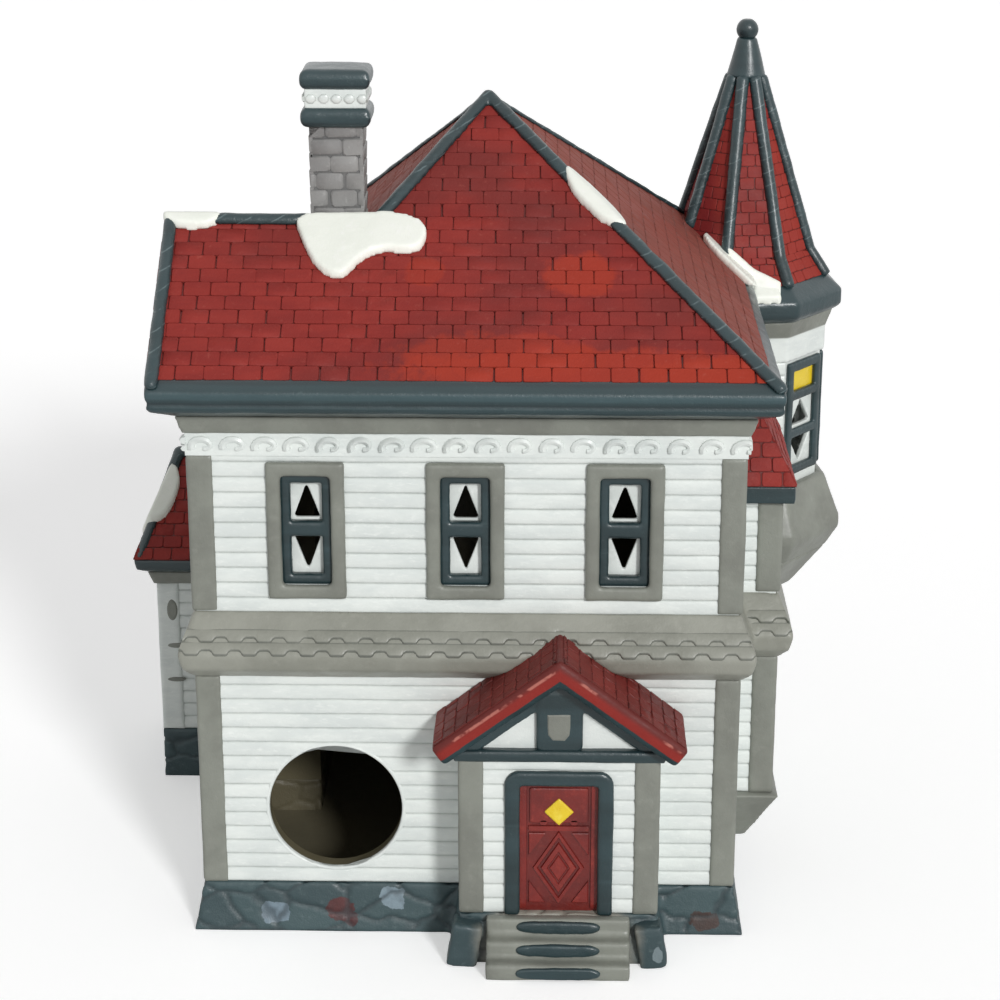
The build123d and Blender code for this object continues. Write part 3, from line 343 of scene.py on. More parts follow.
def bedded_stones():
    """A node group that presses the joints of irregular stones into a skin and marks stones and joints."""
    wire = group_inputs("bedded_stones", Geometry="Geometry", Stones="Float", Depth="Float", Glaze="Material")
    skin = wire["Geometry"]
    place = skin.node("GeometryNodeInputPosition", {}, {})
    bent = skin.node("ShaderNodeTexNoise", {}, {"Vector": place, "Scale": 160.0, "Detail": 2.0}, "Color")
    shaken = bent.scaled(0.004)
    place = place.vectors("ADD", place, shaken)
    lain = place.vectors("MULTIPLY", place, (0.8, 0.8, 1.25))
    edge = lain.node(
        "ShaderNodeTexVoronoi",
        {"feature": "DISTANCE_TO_EDGE"},
        {"Vector": lain, "Scale": wire["Stones"], "Randomness": 0.9},
    )
    cell = lain.node(
        "ShaderNodeTexVoronoi", {}, {"Vector": lain, "Scale": wire["Stones"], "Randomness": 0.9}, "Color"
    )
    raised = ramped(edge, 0.015, 0.08)
    out = skin.node("GeometryNodeInputNormal", {}, {})
    standing = place.node("GeometryNodeInputPosition", {}, {})
    height = axis_of(standing, 2)
    sunk = (raised - 1.0) * wire["Depth"] * ramped(height, 0.4 * mm, 1.8 * mm)
    push = out.scaled(sunk)
    shade = axis_of(cell, 0)
    toned = skin.node(
        "GeometryNodeStoreNamedAttribute",
        {"data_type": "FLOAT"},
        {"Geometry": skin, "Name": "tint", "Value": shade},
    )
    washed = skin.node(
        "GeometryNodeStoreNamedAttribute",
        {"data_type": "FLOAT"},
        {"Geometry": toned, "Name": "wash", "Value": 1.0 - raised},
    )
    pressed = skin.node("GeometryNodeSetPosition", {}, {"Geometry": washed, "Offset": push})
    glazed = skin.node("GeometryNodeSetMaterial", {}, {"Geometry": pressed, "Material": wire["Glaze"]})
    return group_of(glazed)


def blot(place, middle, reach, ragged=0.5, soft=0.15):
    """A brushed patch with ragged edges: 1 in its middle and 0 outside its reach, both in millimetres."""
    apart = place.vectors("SUBTRACT", place, tuple(value * mm for value in middle))
    shared = apart.vectors("DIVIDE", apart, tuple(value * mm for value in reach))
    far = shared.node("ShaderNodeVectorMath", {"operation": "LENGTH"}, {0: shared}, "Value")
    return ramped(far + ragged * (noise(place, 260, 3) - 0.5), 1.0 + soft, 1.0 - soft)


def item(mesh):
    """An object that a node group works on or repeats. It is removed when the group has been used."""
    made = bpy.data.objects.new(mesh.name, mesh)
    scene.collection.objects.link(made)
    return made


def indoor_shade_mask(place):
    """1 in the hollow of the house and 0 outside its walls: the mask for the painted shade inside."""
    inward = place.node("ShaderNodeVectorMath", {"operation": "ABSOLUTE"}, {0: place})
    across = axis_of(inward, 0)
    along = axis_of(inward, 1)
    return ramped(across, 60.8 * mm, 60.2 * mm) * ramped(along, 57.6 * mm, 57.2 * mm)


entry_middle = 21.8


def stone_colour(place):
    """Slate-green stones with dark joints, a few picked out in blue, red and brown, a grey landing, and
    painted shade inside the house.
    """
    tint = marked(place, "tint")
    wash = marked(place, "wash")
    shade = between(0.6 * tint + 0.4 * noise(place, 90, 3), tone(44, 62, 66), tone(62, 83, 86))
    shade = between(0.35 * ramped(noise(place, 500, 4), 0.55, 0.8), shade, tone(108, 124, 124))
    for middle, reach, colour in (
        ((-47.0, -63.6, 4.6), (3.4, 6.0, 2.7), tone(122, 140, 152)),
        ((-18.6, -62.8, 8.6), (3.2, 6.0, 2.9), tone(132, 150, 160)),
        ((-31.1, -63.4, 5.6), (3.3, 6.0, 2.9), tone(84, 32, 30)),
        ((-28.3, -63.4, 3.2), (1.8, 6.0, 1.7), tone(78, 30, 30)),
        ((57.2, -63.8, 3.6), (3.8, 6.0, 2.5), tone(62, 40, 32)),
        ((45.5, -78.0, 3.4), (1.5, 4.0, 2.6), tone(118, 132, 136)),
    ):
        mottled = between(ramped(noise(place, 330, 4), 0.4, 0.7), colour, [0.7 * part for part in colour])
        shade = between(0.9 * blot(place, middle, reach, 1.3, 0.05), shade, mottled)
    shade = between(0.6 * wash, shade, tone(36, 48, 52))
    landing = blot(place, (entry_middle, -80.0, 6.0), (18.6, 7.4, 40.0), 0.12)
    grey = between(noise(place, 120, 4), tone(134, 131, 121), tone(160, 157, 146))
    # Painted shade: dark brown on the faces inside the house.
    return between(indoor_shade_mask(place), between(landing, shade, grey), tone(98, 92, 72))


stone_glaze = glaze("stone_glaze", stone_colour, roughness=(0.42, 0.62), coat=0.12, relief=0.0005)
stone_bed = bedded_stones()
for name, node in (("foundation_skin", "foundation"), ("porch_foundation_skin", "porch_foundation")):
    carrier = item(fired([node], fineness=0.6 * mm, rounds=4, waver=0.35 * mm, lumps=70, kept=1.0))
    pressing = carrier.modifiers.new("press", "NODES")
    pressing.node_group = stone_bed
    set_inputs(pressing, {"Stones": 105.0, "Depth": 0.4 * mm, "Glaze": stone_glaze})
    pressed = plain_mesh(carrier)
    finished(name, pressed, stone_glaze, "stone", node)
cheeks = bmesh.new()
for x, wide, turn in ((-0.3, 7.0, 0.16), (43.9, 6.4, -0.16)):
    lie = Matrix.Translation((x * mm, -76.8 * mm, 5.1 * mm)) @ Matrix.Rotation(turn, 4, "Y")
    bmesh.ops.create_cube(cheeks, size=1.0, matrix=lie @ Matrix.Diagonal((wide * mm, 6.4 * mm, 11.0 * mm, 1)))
cheek_blocks = as_mesh("cheek_stones", cheeks)
cheek_mesh = fired([], fineness=0.5 * mm, rounds=14, waver=1.4 * mm, lumps=130, mesh=cheek_blocks)
finished("cheek_stones", cheek_mesh, stone_glaze, "stone")

# Floor plate: the closed bottom of the casting, of bare clay, where the house stands on the shelf.
# It is cast in one with the foundation and left unglazed, so that it doesn't stick in the kiln.
def painted_indoor_shade(place):
    """Painted shade: the brown of clay in the unlit hollow of the house."""
    return between(noise(place, 60, 3), tone(92, 87, 68), tone(118, 111, 88))


def clay_colour(place):
    """Pale clay underneath, and painted shade on its top inside the house."""
    pale = brushed(tone(206, 200, 190), tone(220, 215, 206), tone(232, 228, 220))(place)
    # Above the underside, the plate's top inside the house takes painted shade.
    return between(ramped(axis_of(place, 2), 1.5 * mm, 2.5 * mm), pale, painted_indoor_shade(place))


def painted(material, *nodes):
    """Glaze the solids that show as they were cast."""
    for node in nodes:
        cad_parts[node].material_slots[0].material = material


painted(glaze("bare_clay", clay_colour, roughness=(0.8, 0.9), coat=0.0, relief=0.0004), "floor_plate")

# Walls: cast plain and glazed white, with clapboards modelled on every outside face.
# The boards stop at the window openings, the lamp hole and the doorways.
back_face = -60.4
front_face = 60.4
hole_across = -31.8
hole_height = 32.1
lower_windows = 38.5
upper_windows = 102.8


def washed_white(place):
    """White with faint streaks, and thin grey wash lying in the grooves."""
    wash = marked(place, "wash")
    streaks = brushed(tone(216, 222, 219), tone(229, 234, 230), tone(238, 242, 238), (1, 1, 3))(place)
    thin = wash * (0.15 + 0.6 * noise(place, 220, 3))
    return between(thin, streaks, tone(150, 156, 150))


def wall_colour(place):
    """White outside, and painted shade in dark brown inside the house and round the edge of the lamp hole."""
    inside = indoor_shade_mask(place)
    flat = place.vectors("MULTIPLY", place, (1, 0, 1))
    hole_middle = (hole_across * mm, 0, hole_height * mm)
    away = flat.node("ShaderNodeVectorMath", {"operation": "DISTANCE"}, {0: flat, 1: hole_middle}, "Value")
    # Painted shade on the reveal of the lamp hole, where the wall's thickness shows.
    hole = ramped(away, 16.3 * mm, 16.1 * mm) * ramped(axis_of(place, 1), 0.0, -1.0 * mm)
    # Painted shade: dark brown inside the house and on the hole's reveal.
    return between(inside.maths("MAXIMUM", inside, hole), washed_white(place), painted_indoor_shade(place))


white_glaze = glaze("white_glaze", washed_white, roughness=(0.32, 0.5), coat=0.25, relief=0.0003)
wall_glaze = glaze("wall_glaze", wall_colour, roughness=(0.32, 0.5), coat=0.15, relief=0.0003)
painted(
    wall_glaze,
    "back_wall", "front_wall", "left_wall", "right_wall", "wing_return_wall", "wing_side_wall",
)
painted(
    white_glaze,
    "entry_walls", "bay_walls", "porch_walls", "turret_wall", "gable_panel", "entry_tympanum", "frieze",
)

board_pitch = 3.7 * mm


def board_form():
    """One clapboard of unit length: a wedge with a rounded lower edge, x along it, y up and z out."""
    profile = [
        (0.0, -0.3, 1.0), (0.0, 0.08, 1.0), (0.2, 0.34, 0.5), (0.6, 0.48, 0.0), (1.6, 0.52, 0.0),
        (2.9, 0.44, 0.0), (3.4, 0.3, 0.2), (3.7, 0.06, 1.0), (3.7, -0.3, 1.0),
    ]
    pieces = 28
    form = bmesh.new()
    shade = form.verts.layers.float.new("wash")
    rings = []
    for index in range(pieces + 1):
        ring = []
        for y, z, grey in profile:
            vert = form.verts.new((index / pieces, y * mm, z * mm))
            vert[shade] = grey
            ring.append(vert)
        rings.append(ring)
    for low, high in zip(rings, rings[1:]):
        for index in range(len(profile)):
            after = (index + 1) % len(profile)
            form.faces.new((low[index], high[index], high[after], low[after]))
    form.faces.new(rings[0])
    form.faces.new(list(reversed(rings[-1])))
    bmesh.ops.recalc_face_normals(form, faces=form.faces)
    return as_mesh("clapboard", form)


def clapboard_group():
    """A node group that stacks boards up a wall, each a little uneven along its length."""
    wire = group_inputs(
        "clapboards",
        Board="Object", Rows="Int", Pitch="Float", Length="Float", Waver="Float", Glaze="Material",
    )
    start = wire["Pitch"]
    rise = start.node("ShaderNodeCombineXYZ", {}, {"Y": wire["Pitch"]})
    rows = start.node("GeometryNodeMeshLine", {}, {"Count": wire["Rows"], "Offset": rise})
    size = start.node("ShaderNodeCombineXYZ", {}, {"X": wire["Length"], "Y": 1.0, "Z": 1.0})
    shape = start.node("GeometryNodeObjectInfo", {}, {"Object": wire["Board"]}, "Geometry")
    stacked = start.node(
        "GeometryNodeInstanceOnPoints", {}, {"Points": rows, "Instance": shape, "Scale": size}
    )
    real = start.node("GeometryNodeRealizeInstances", {}, {"Geometry": stacked})
    lumps = start.node("ShaderNodeTexNoise", {}, {"Scale": 75.0, "Detail": 2.0}, "Color")
    centred = lumps.vectors("SUBTRACT", lumps, (0.5, 0.5, 0.5))
    drift = centred.vectors("MULTIPLY", centred, (0.0, 1.0, 0.7))
    uneven = drift.scaled(wire["Waver"])
    moved = start.node("GeometryNodeSetPosition", {}, {"Geometry": real, "Offset": uneven})
    return group_of(start.node("GeometryNodeSetMaterial", {}, {"Geometry": moved, "Material": wire["Glaze"]}))


clapboards = clapboard_group()
board = item(board_form())


def flat_faces(node, least, low, high, middle=None):
    """The flat faces of a solid of at least so many square millimetres that lean between low and high.
    A face is its across, up and out directions, how far out it lies, and its outline in across and up.
    With a middle, only the faces that look away from it are given."""
    form = bmesh.new()
    form.from_mesh(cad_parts[node].data)
    bmesh.ops.remove_doubles(form, verts=form.verts, dist=1e-6)
    groups = []
    for face in form.faces:
        out = face.normal
        if not low <= out.z <= high:
            continue
        depth = out.dot(face.calc_center_median())
        for group in groups:
            if group[0].dot(out) > 0.9995 and abs(group[1] - depth) < 0.15 * mm:
                break
        else:
            group = (out.copy(), depth, [], [])
            groups.append(group)
        group[2].append(face.calc_area())
        group[3].extend(vert.co.copy() for vert in face.verts)
    form.free()
    found = []
    for out, depth, areas, points in groups:
        centre = sum(points, Vector()) / len(points)
        sunk = any(out.dot(other[0]) > 0.9995 and 0 < other[1] - depth < 1.2 * mm for other in groups)
        looks_in = middle and (centre - Vector(middle) * mm).dot(out) < 0
        if sunk or sum(areas) < least * mm * mm or looks_in:
            continue
        across = Vector((0, 0, 1)).cross(out).normalized()
        up = out.cross(across)
        flat = [Vector((point.dot(across), point.dot(up))) / mm for point in points]
        outline = [flat[index] * mm for index in convex_hull_2d(flat)]
        turning = sum(a.x * b.y - b.x * a.y for a, b in zip(outline, outline[1:] + outline[:1]))
        if turning < 0:
            outline.reverse()
        found.append((across, up, out, depth, outline))
    return found


def on_face(face):
    """The place of a face: x across it, y up it and z out of it."""
    across, up, out, depth, outline = face
    place = Matrix((across, up, out)).transposed().to_4x4()
    place.translation = out * depth
    return place


def sawn(form, corners, spread=0.0, keep_inside=True):
    """Saw a sheet along the sides of an outline, and throw away what lies outside it, or inside it."""
    sides = []
    for start, end in zip(corners, corners[1:] + corners[:1]):
        edge = end - start
        if edge.length > 0.2 * mm:
            away = Vector((edge.y, -edge.x, 0)).normalized()
            sides.append((Vector((start.x, start.y, 0)) + away * spread, away))
    for foot, away in sides:
        near = form.faces[:]
        if not keep_inside:
            near = [
                face
                for face in form.faces
                if all((face.calc_center_median() - spot).dot(out) < 12 * mm for spot, out in sides)
            ]
        parts = set(near)
        for face in near:
            parts.update(face.verts)
            parts.update(face.edges)
        bmesh.ops.bisect_plane(
            form, geom=list(parts), dist=1e-7, plane_co=foot, plane_no=away, clear_outer=keep_inside
        )
    if not keep_inside:
        lost = [
            face
            for face in form.faces
            if all((face.calc_center_median() - spot).dot(out) < 0 for spot, out in sides)
        ]
        bmesh.ops.delete(form, geom=lost, context="FACES")


def trimmed(mesh, outline, spread=0.0, openings=()):
    """A sheet cut off along the edges of the face that it lies on, opened, and closed again at the cuts."""
    form = bmesh.new()
    form.from_mesh(mesh)
    sawn(form, outline, spread)
    for corners in openings:
        sawn(form, corners, 0.0, False)
    bmesh.ops.holes_fill(form, edges=[edge for edge in form.edges if edge.is_boundary], sides=0)
    form.to_mesh(mesh)
    form.free()


def gathered(name, sheets):
    """Several sheets as one mesh."""
    form = bmesh.new()
    for mesh in sheets:
        form.from_mesh(mesh)
    return as_mesh(name, form)


def boarded(name, faces, openings=()):
    """Clapboards over the faces of a wall, left out of the openings, each a ring of points."""
    sheets = []
    for face in faces:
        across, up, out, depth, outline = face
        left = min(point.x for point in outline)
        low = min(point.y for point in outline)
        height = max(point.y for point in outline) - low
        carrier = item(bpy.data.meshes.new("boards"))
        stacking = carrier.modifiers.new("stack", "NODES")
        stacking.node_group = clapboards
        set_inputs(
            stacking,
            {
                "Board": board,
                "Rows": math.ceil(height / board_pitch),
                "Pitch": board_pitch,
                "Length": max(point.x for point in outline) - left,
                "Waver": 0.35 * mm,
                "Glaze": white_glaze,
            },
        )
        mesh = plain_mesh(carrier)
        mesh.transform(Matrix.Translation((left, low, 0)))
        cuts = []
        for ring in openings:
            if all(abs(Vector(point).dot(out) - depth) < 4 * mm for point in ring):
                cuts.append([Vector((Vector(point).dot(across), Vector(point).dot(up))) for point in ring])
        trimmed(mesh, outline, 0.0, cuts)
        mesh.transform(on_face(face))
        sheets.append(mesh)
    boards = gathered(name, sheets)
    boards.shade_smooth()
    boards.set_sharp_from_angle(angle=math.radians(50))
    finished(name, boards, white_glaze, "white_glaze")


def pane(x, y, z, along, wide=14.2, high=29.4):
    """The corners of an opening in the boards, by its middle and the way the wall runs, anticlockwise."""
    half = Vector((along[0], along[1], 0)) * wide / 2
    rise = Vector((0, 0, high / 2))
    middle = Vector((x, y, z))
    return [point * mm for point in (middle - half - rise, middle + half - rise, middle + half + rise,
                                     middle - half + rise)]


def ring(x, y, z, along, radius):
    """The points of a round opening in the boards, anticlockwise."""
    side = Vector((along[0], along[1], 0))
    turns = [2 * math.pi * step / 48 for step in range(48)]
    return [
        (Vector((x, y, z)) + side * radius * math.cos(turn) + Vector((0, 0, radius * math.sin(turn)))) * mm
        for turn in turns
    ]


house_middle = (5, 0, 60)
eastward = (1, 0)
westward = (-1, 0)
northward = (0, 1)
southward = (0, -1)
upright = (-0.1, 0.1)
bay_along = -25.4
entry_front = -74.9
boarded(
    "back_boards",
    flat_faces("back_wall", 900, *upright, house_middle),
    [pane(x, back_face, upper_windows, eastward) for x in (-37.1, -0.3, 36.5)]
    + [pane(entry_middle, back_face, 30, eastward, 44, 60)]
    + [ring(hole_across, back_face, hole_height, eastward, 16.3)],
)
hole_edge = bmesh.new()
turns = [2 * math.pi * step / 96 for step in range(96)]
edge_rings = [
    [
        hole_edge.verts.new(
            (
                (hole_across + reach * math.cos(turn)) * mm,
                (back_face - out) * mm,
                (hole_height + reach * math.sin(turn)) * mm,
            )
        )
        for reach, out in ((15.95, -0.6), (15.95, 0.2), (16.2, 0.5), (16.55, 0.55), (16.9, 0.3), (17.0, -0.3))
    ]
    for turn in turns
]
for low, high in zip(edge_rings, edge_rings[1:] + edge_rings[:1]):
    for index in range(5):
        hole_edge.faces.new((low[index], low[index + 1], high[index + 1], high[index]))
bmesh.ops.recalc_face_normals(hole_edge, faces=hole_edge.faces)
edge_mesh = as_mesh("lamp_hole_edge", hole_edge)
edge_mesh.shade_smooth()
finished("lamp_hole_edge", edge_mesh, white_glaze, "white_glaze")
boarded(
    "front_boards",
    flat_faces("front_wall", 900, *upright, house_middle),
    [pane(x, front_face, z, westward)
     for x, z in ((-27.6, lower_windows), (-27.6, upper_windows), (9.2, upper_windows))]
    + [pane(9.2, front_face, 30, westward, 20.4, 40)],
)
boarded("right_boards", flat_faces("right_wall", 900, *upright, house_middle))
boarded("left_boards", flat_faces("left_wall", 900, *upright, house_middle))
boarded(
    "wing_side_boards",
    flat_faces("wing_side_wall", 900, *upright, house_middle),
    [pane(-63.4, -29.9, z, southward) for z in (lower_windows, upper_windows)],
)
boarded(
    "wing_return_boards",
    flat_faces("wing_return_wall", 900, *upright, (-54, -30, 60)),
)
boarded("gable_boards", flat_faces("gable_panel", 400, *upright, house_middle))
boarded(
    "bay_boards",
    flat_faces("bay_walls", 150, *upright, (60, bay_along, 60)),
    [pane(73.3, bay_along, z, northward, high=17.4) for z in (41.7, 94.4)],
)
boarded(
    "porch_boards",
    flat_faces("porch_walls", 150, *upright, (-60, 42.5, 35)),
    [pane(-65.5, 24.6, 43.5, eastward, high=17.4)],
)
boarded(
    "entry_boards",
    flat_faces("entry_walls", 150, *upright, (entry_middle, -64, 30)),
    [pane(entry_middle, entry_front, 28, eastward, 22.8, 39.6)],
)
turret_faces = [
    face
    for face in flat_faces("turret_wall", 150, *upright, (69.7, 51.6, 100))
    if abs((math.degrees(math.atan2(face[2].y, face[2].x)) - 7 + 180) % 360 - 180) > 60
]
boarded("turret_boards", turret_faces)
bpy.data.objects.remove(board)

# Corner boards: flat grey boards up every outside corner, pressed with the walls and brushed grey.
# Glaze has rounded their edges.
trim_grey = brushed(tone(119, 121, 113), tone(133, 136, 127), tone(151, 153, 144), flecks=0.3)
trim_finish = {"roughness": (0.38, 0.55), "coat": 0.15, "relief": 0.0004}


def corner_colour(place):
    """Grey boards, but white on the low wing at the left."""
    grey = trim_grey(place)
    across = axis_of(place, 0)
    return between(ramped(across, -72 * mm, -73 * mm), grey, washed_white(place))


corner_glaze = glaze("corner_glaze", corner_colour, **trim_finish)
grey_glaze = glaze("grey_glaze", trim_grey, **trim_finish)
skinned("corner_boards", corner_glaze, "grey_trim", fineness=0.5, rounds=3, waver=0.35, lumps=120)


# Skirt roof: a narrow sloping band round the house between the storeys, glazed grey,
# with two rows of rounded shingles modelled along its lower half and a plain rolled lip.
def course_group():
    """A node group that lays tiles in rows across a flat face, each row shifted against the last."""
    wire = group_inputs(
        "laid_courses",
        Tile="Object", Columns="Int", Rows="Int", Width="Float", Course="Float", Shift="Float",
        Uneven="Float", Turn="Float", Tilt="Float", Seed="Int", Glaze="Material",
    )
    start = wire["Width"]
    spots = start.node("GeometryNodeMeshLine", {}, {"Count": wire["Columns"] * wire["Rows"]})
    index = start.node("GeometryNodeInputIndex", {}, {})
    row = start.node("ShaderNodeMath", {"operation": "FLOOR"}, {0: (index + 0.5) / wire["Columns"]})
    column = index - row * wire["Columns"]
    odd = row.maths("MODULO", row, 2.0)
    slip = start.node("FunctionNodeRandomValue", {"data_type": "FLOAT"}, {2: -1.0, 3: 1.0, "ID": row}, 1)
    across = (column + 0.5 + odd * wire["Shift"] + slip * wire["Uneven"]) * wire["Width"]
    place = start.node(
        "ShaderNodeCombineXYZ", {}, {"X": across, "Y": (row + 0.5) * wire["Course"], "Z": 0.0}
    )
    spread = start.node("GeometryNodeSetPosition", {}, {"Geometry": spots, "Position": place})
    shape = start.node("GeometryNodeObjectInfo", {}, {"Object": wire["Tile"]}, "Geometry")
    spin = start.node(
        "FunctionNodeRandomValue", {"data_type": "FLOAT"}, {2: -1.0, 3: 1.0, "Seed": wire["Seed"]}, 1
    )
    rock = start.node(
        "FunctionNodeRandomValue", {"data_type": "FLOAT"}, {2: 0.5, 3: 1.5, "Seed": wire["Seed"] + 1}, 1
    )
    lie = start.node(
        "ShaderNodeCombineXYZ",
        {},
        {"X": rock * wire["Tilt"], "Y": spin * wire["Tilt"] * 0.4, "Z": spin * wire["Turn"]},
    )
    grow = start.node(
        "FunctionNodeRandomValue", {"data_type": "FLOAT"}, {2: -1.0, 3: 1.0, "Seed": wire["Seed"] + 2}, 1
    )
    size = start.node(
        "ShaderNodeCombineXYZ",
        {},
        {"X": 1.0 + grow * wire["Uneven"], "Y": 1.0 - grow * wire["Uneven"] * 0.5, "Z": 1.0 + spin * 0.25},
    )
    laid = start.node(
        "GeometryNodeInstanceOnPoints",
        {},
        {"Points": spread, "Instance": shape, "Rotation": lie, "Scale": size},
    )
    tint = start.node("FunctionNodeRandomValue", {"data_type": "FLOAT"}, {"Seed": wire["Seed"] + 3}, 1)
    tinted = start.node(
        "GeometryNodeStoreNamedAttribute",
        {"data_type": "FLOAT", "domain": "INSTANCE"},
        {"Geometry": laid, "Name": "tint", "Value": tint},
    )
    real = start.node("GeometryNodeRealizeInstances", {}, {"Geometry": tinted})
    return group_of(start.node("GeometryNodeSetMaterial", {}, {"Geometry": real, "Material": wire["Glaze"]}))


laid_courses = course_group()


def slab(name, corners, steps):
    """A small raised tile: its outline drawn in and lifted, step by step, each (share, height) and,
    where it is given, how dark the wash lies there."""
    form = bmesh.new()
    shade = form.verts.layers.float.new("wash")
    rings = []
    for share, height, *dark in steps:
        level = [form.verts.new((x * share * mm, y * share * mm, height * mm)) for x, y in corners]
        for vert in level:
            vert[shade] = dark[0] if dark else float(len(rings) < len(steps) - 1)
        rings.append(level)
    for low, high in zip(rings, rings[1:]):
        for index in range(len(corners)):
            after = (index + 1) % len(corners)
            form.faces.new((low[index], low[after], high[after], high[index]))
    form.faces.new(rings[-1])
    form.faces.new(list(reversed(rings[0])))
    return as_mesh(name, form)


def cut_cornered(wide, high, corner):
    """The outline of a tile with its corners taken off, anticlockwise."""
    x = wide / 2
    y = high / 2
    return [
        (x - corner, -y), (x, -y + corner), (x, y - corner), (x - corner, y),
        (-x + corner, y), (-x, y - corner), (-x, -y + corner), (-x + corner, -y),
    ]


def laid(name, tile_mesh, faces, width, course, material, slot, start=0.0, rows=None, shift=0.5,
         uneven=0.05, turn=0.03, tilt=0.03, seed=1, spread=0.0, one_field=False):
    """Tiles laid over flat faces, from start up, and trimmed at the edges of each face.
    With one_field, faces in one plane share their courses."""
    tile = item(tile_mesh)
    sheets = []
    for face in faces:
        spans = [point for other in (faces if one_field else [face]) for point in other[4]]
        left = min(point.x for point in spans)
        low = min(point.y for point in spans) + start
        columns = math.ceil((max(point.x for point in spans) - left) / width) + 2
        carrier = item(bpy.data.meshes.new("courses"))
        laying = carrier.modifiers.new("lay", "NODES")
        laying.node_group = laid_courses
        set_inputs(
            laying,
            {
                "Tile": tile,
                "Columns": columns,
                "Rows": rows or math.ceil((max(point.y for point in spans) - low) / course) + 1,
                "Width": width,
                "Course": course,
                "Shift": shift,
                "Uneven": uneven,
                "Turn": turn,
                "Tilt": tilt,
                "Seed": seed,
                "Glaze": material,
            },
        )
        mesh = plain_mesh(carrier)
        mesh.transform(Matrix.Translation((left - width, low, 0)))
        trimmed(mesh, face[4], spread)
        mesh.transform(on_face(face))
        sheets.append(mesh)
    bpy.data.objects.remove(tile)
    whole = gathered(name, sheets)
    whole.shade_smooth()
    whole.set_sharp_from_angle(angle=math.radians(42))
    finished(name, whole, material, slot)


def tinted(dark, light, fleck_tone, fleck_share=0.5):
    """A colour that differs from tile to tile between dark and light, with dry-brushed flecks."""

    def colour(place):
        tint = marked(place, "tint")
        wash = ramped(noise(place, 60, 3), 0.35, 0.65)
        fleck = ramped(noise(place, 600, 4), 0.55, 0.8)
        return between(fleck_share * fleck, between(0.45 * tint + 0.55 * wash, dark, light), fleck_tone)

    return colour


def grooved(colour, dark):
    """A colour with a dark wash lying in the grooves, thicker in some places than in others."""

    def washed(place):
        wash = marked(place, "wash")
        return between(wash * (0.35 + 0.6 * noise(place, 240, 3)), colour(place), dark)

    return washed


skirt_grey = brushed(tone(134, 135, 125), tone(148, 149, 139), tone(164, 164, 154), flecks=0.3)
grey_tile_glaze = glaze("grey_tile_glaze", grooved(skirt_grey, tone(84, 88, 82)), **trim_finish)
skinned("skirt_roof", grey_tile_glaze, "grey_trim", fineness=0.7, rounds=4, waver=0.4, lumps=90)


def scale_form():
    """One scale: flat, flush with its neighbours at the sides, with a tongue standing off at its foot."""
    foot = [
        (-3.41, -0.35), (-2.5, -0.35), (-2.0, -0.65), (-1.6, -1.3), (-1.2, -1.5),
        (1.2, -1.5), (1.6, -1.3), (2.0, -0.65), (2.5, -0.35), (3.41, -0.35),
    ]
    form = bmesh.new()
    shade = form.verts.layers.float.new("wash")
    rows = []
    for lift, height, dark in ((-0.2, -0.4, 1.0), (-0.2, 0.04, 1.0), (0.12, 0.34, 1.0), (0.4, 0.44, 0.1)):
        rows.append([form.verts.new((x * mm, (y + lift) * mm, height * mm)) for x, y in foot])
        for vert in rows[-1]:
            vert[shade] = dark
    for lift, height, dark in ((1.3, 0.14, 0.1), (1.7, 0.02, 1.0), (1.7, -0.4, 1.0)):
        rows.append([form.verts.new((x * mm, lift * mm, height * mm)) for x, y in foot])
        for vert in rows[-1]:
            vert[shade] = dark
    for low, high in zip(rows, rows[1:] + rows[:1]):
        for index in range(len(foot) - 1):
            form.faces.new((low[index], low[index + 1], high[index + 1], high[index]))
    for side in (0, -1):
        form.faces.new([row[side] for row in rows])
    bmesh.ops.recalc_face_normals(form, faces=form.faces)
    return as_mesh("scale", form)


laid(
    "skirt_scales",
    scale_form(),
    flat_faces("skirt_roof", 60, 0.4, 0.75),
    width=6.8 * mm, course=3.1 * mm, material=grey_tile_glaze, slot="grey_trim",
    start=0.3 * mm, rows=2, uneven=0.0, turn=0.0, tilt=0.0,
)

# Windows: a grey casing round a slate sash, with white curtains drawn to a point behind each light.
# All are pressed in one with the wall; the dark triangles between the curtains are open.
def slate_colour(place):
    """Blue-green slate: slow washes along the moulding and a few pale dry-brushed streaks."""
    wash = ramped(noise(place, 45, 3, (0.25, 0.25, 2.5)), 0.35, 0.65)
    streak = ramped(noise(place, 120, 5, (0.15, 0.15, 3.0)), 0.58, 0.78)
    fleck = ramped(noise(place, 600, 4), 0.62, 0.85)
    base = between(wash, tone(26, 45, 48), tone(39, 60, 64))
    return between(0.3 * fleck, between(0.35 * streak, base, tone(78, 101, 105)), tone(104, 121, 122))


slate_glaze = glaze("slate_glaze", slate_colour, roughness=(0.28, 0.42), coat=0.3, relief=0.0004)
skinned(
    "window_casings", grey_glaze, "grey_trim",
    fineness=0.45, rounds=9, waver=0.5, lumps=110, swell=0.22,
)
skinned(
    "window_sashes", slate_glaze, "slate_trim",
    fineness=0.33, rounds=5, waver=0.3, lumps=150, swell=0.32,
)
curtain_colour = brushed(tone(208, 214, 210), tone(228, 233, 229), tone(240, 244, 240))
curtain_glaze = glaze("curtain_glaze", curtain_colour, roughness=(0.35, 0.5), coat=0.2, relief=0.0003)
skinned("window_curtains", curtain_glaze, "curtain", fineness=0.3, rounds=1, waver=0.15, lumps=200)
yellow_colour = brushed(tone(222, 186, 22), tone(236, 206, 34), tone(244, 222, 80))
yellow_glaze = glaze("yellow_glaze", yellow_colour, roughness=(0.25, 0.4), coat=0.4, relief=0.0003)
skinned("yellow_lights", yellow_glaze, "yellow_light", fineness=0.3, rounds=2, waver=0.1, lumps=200)
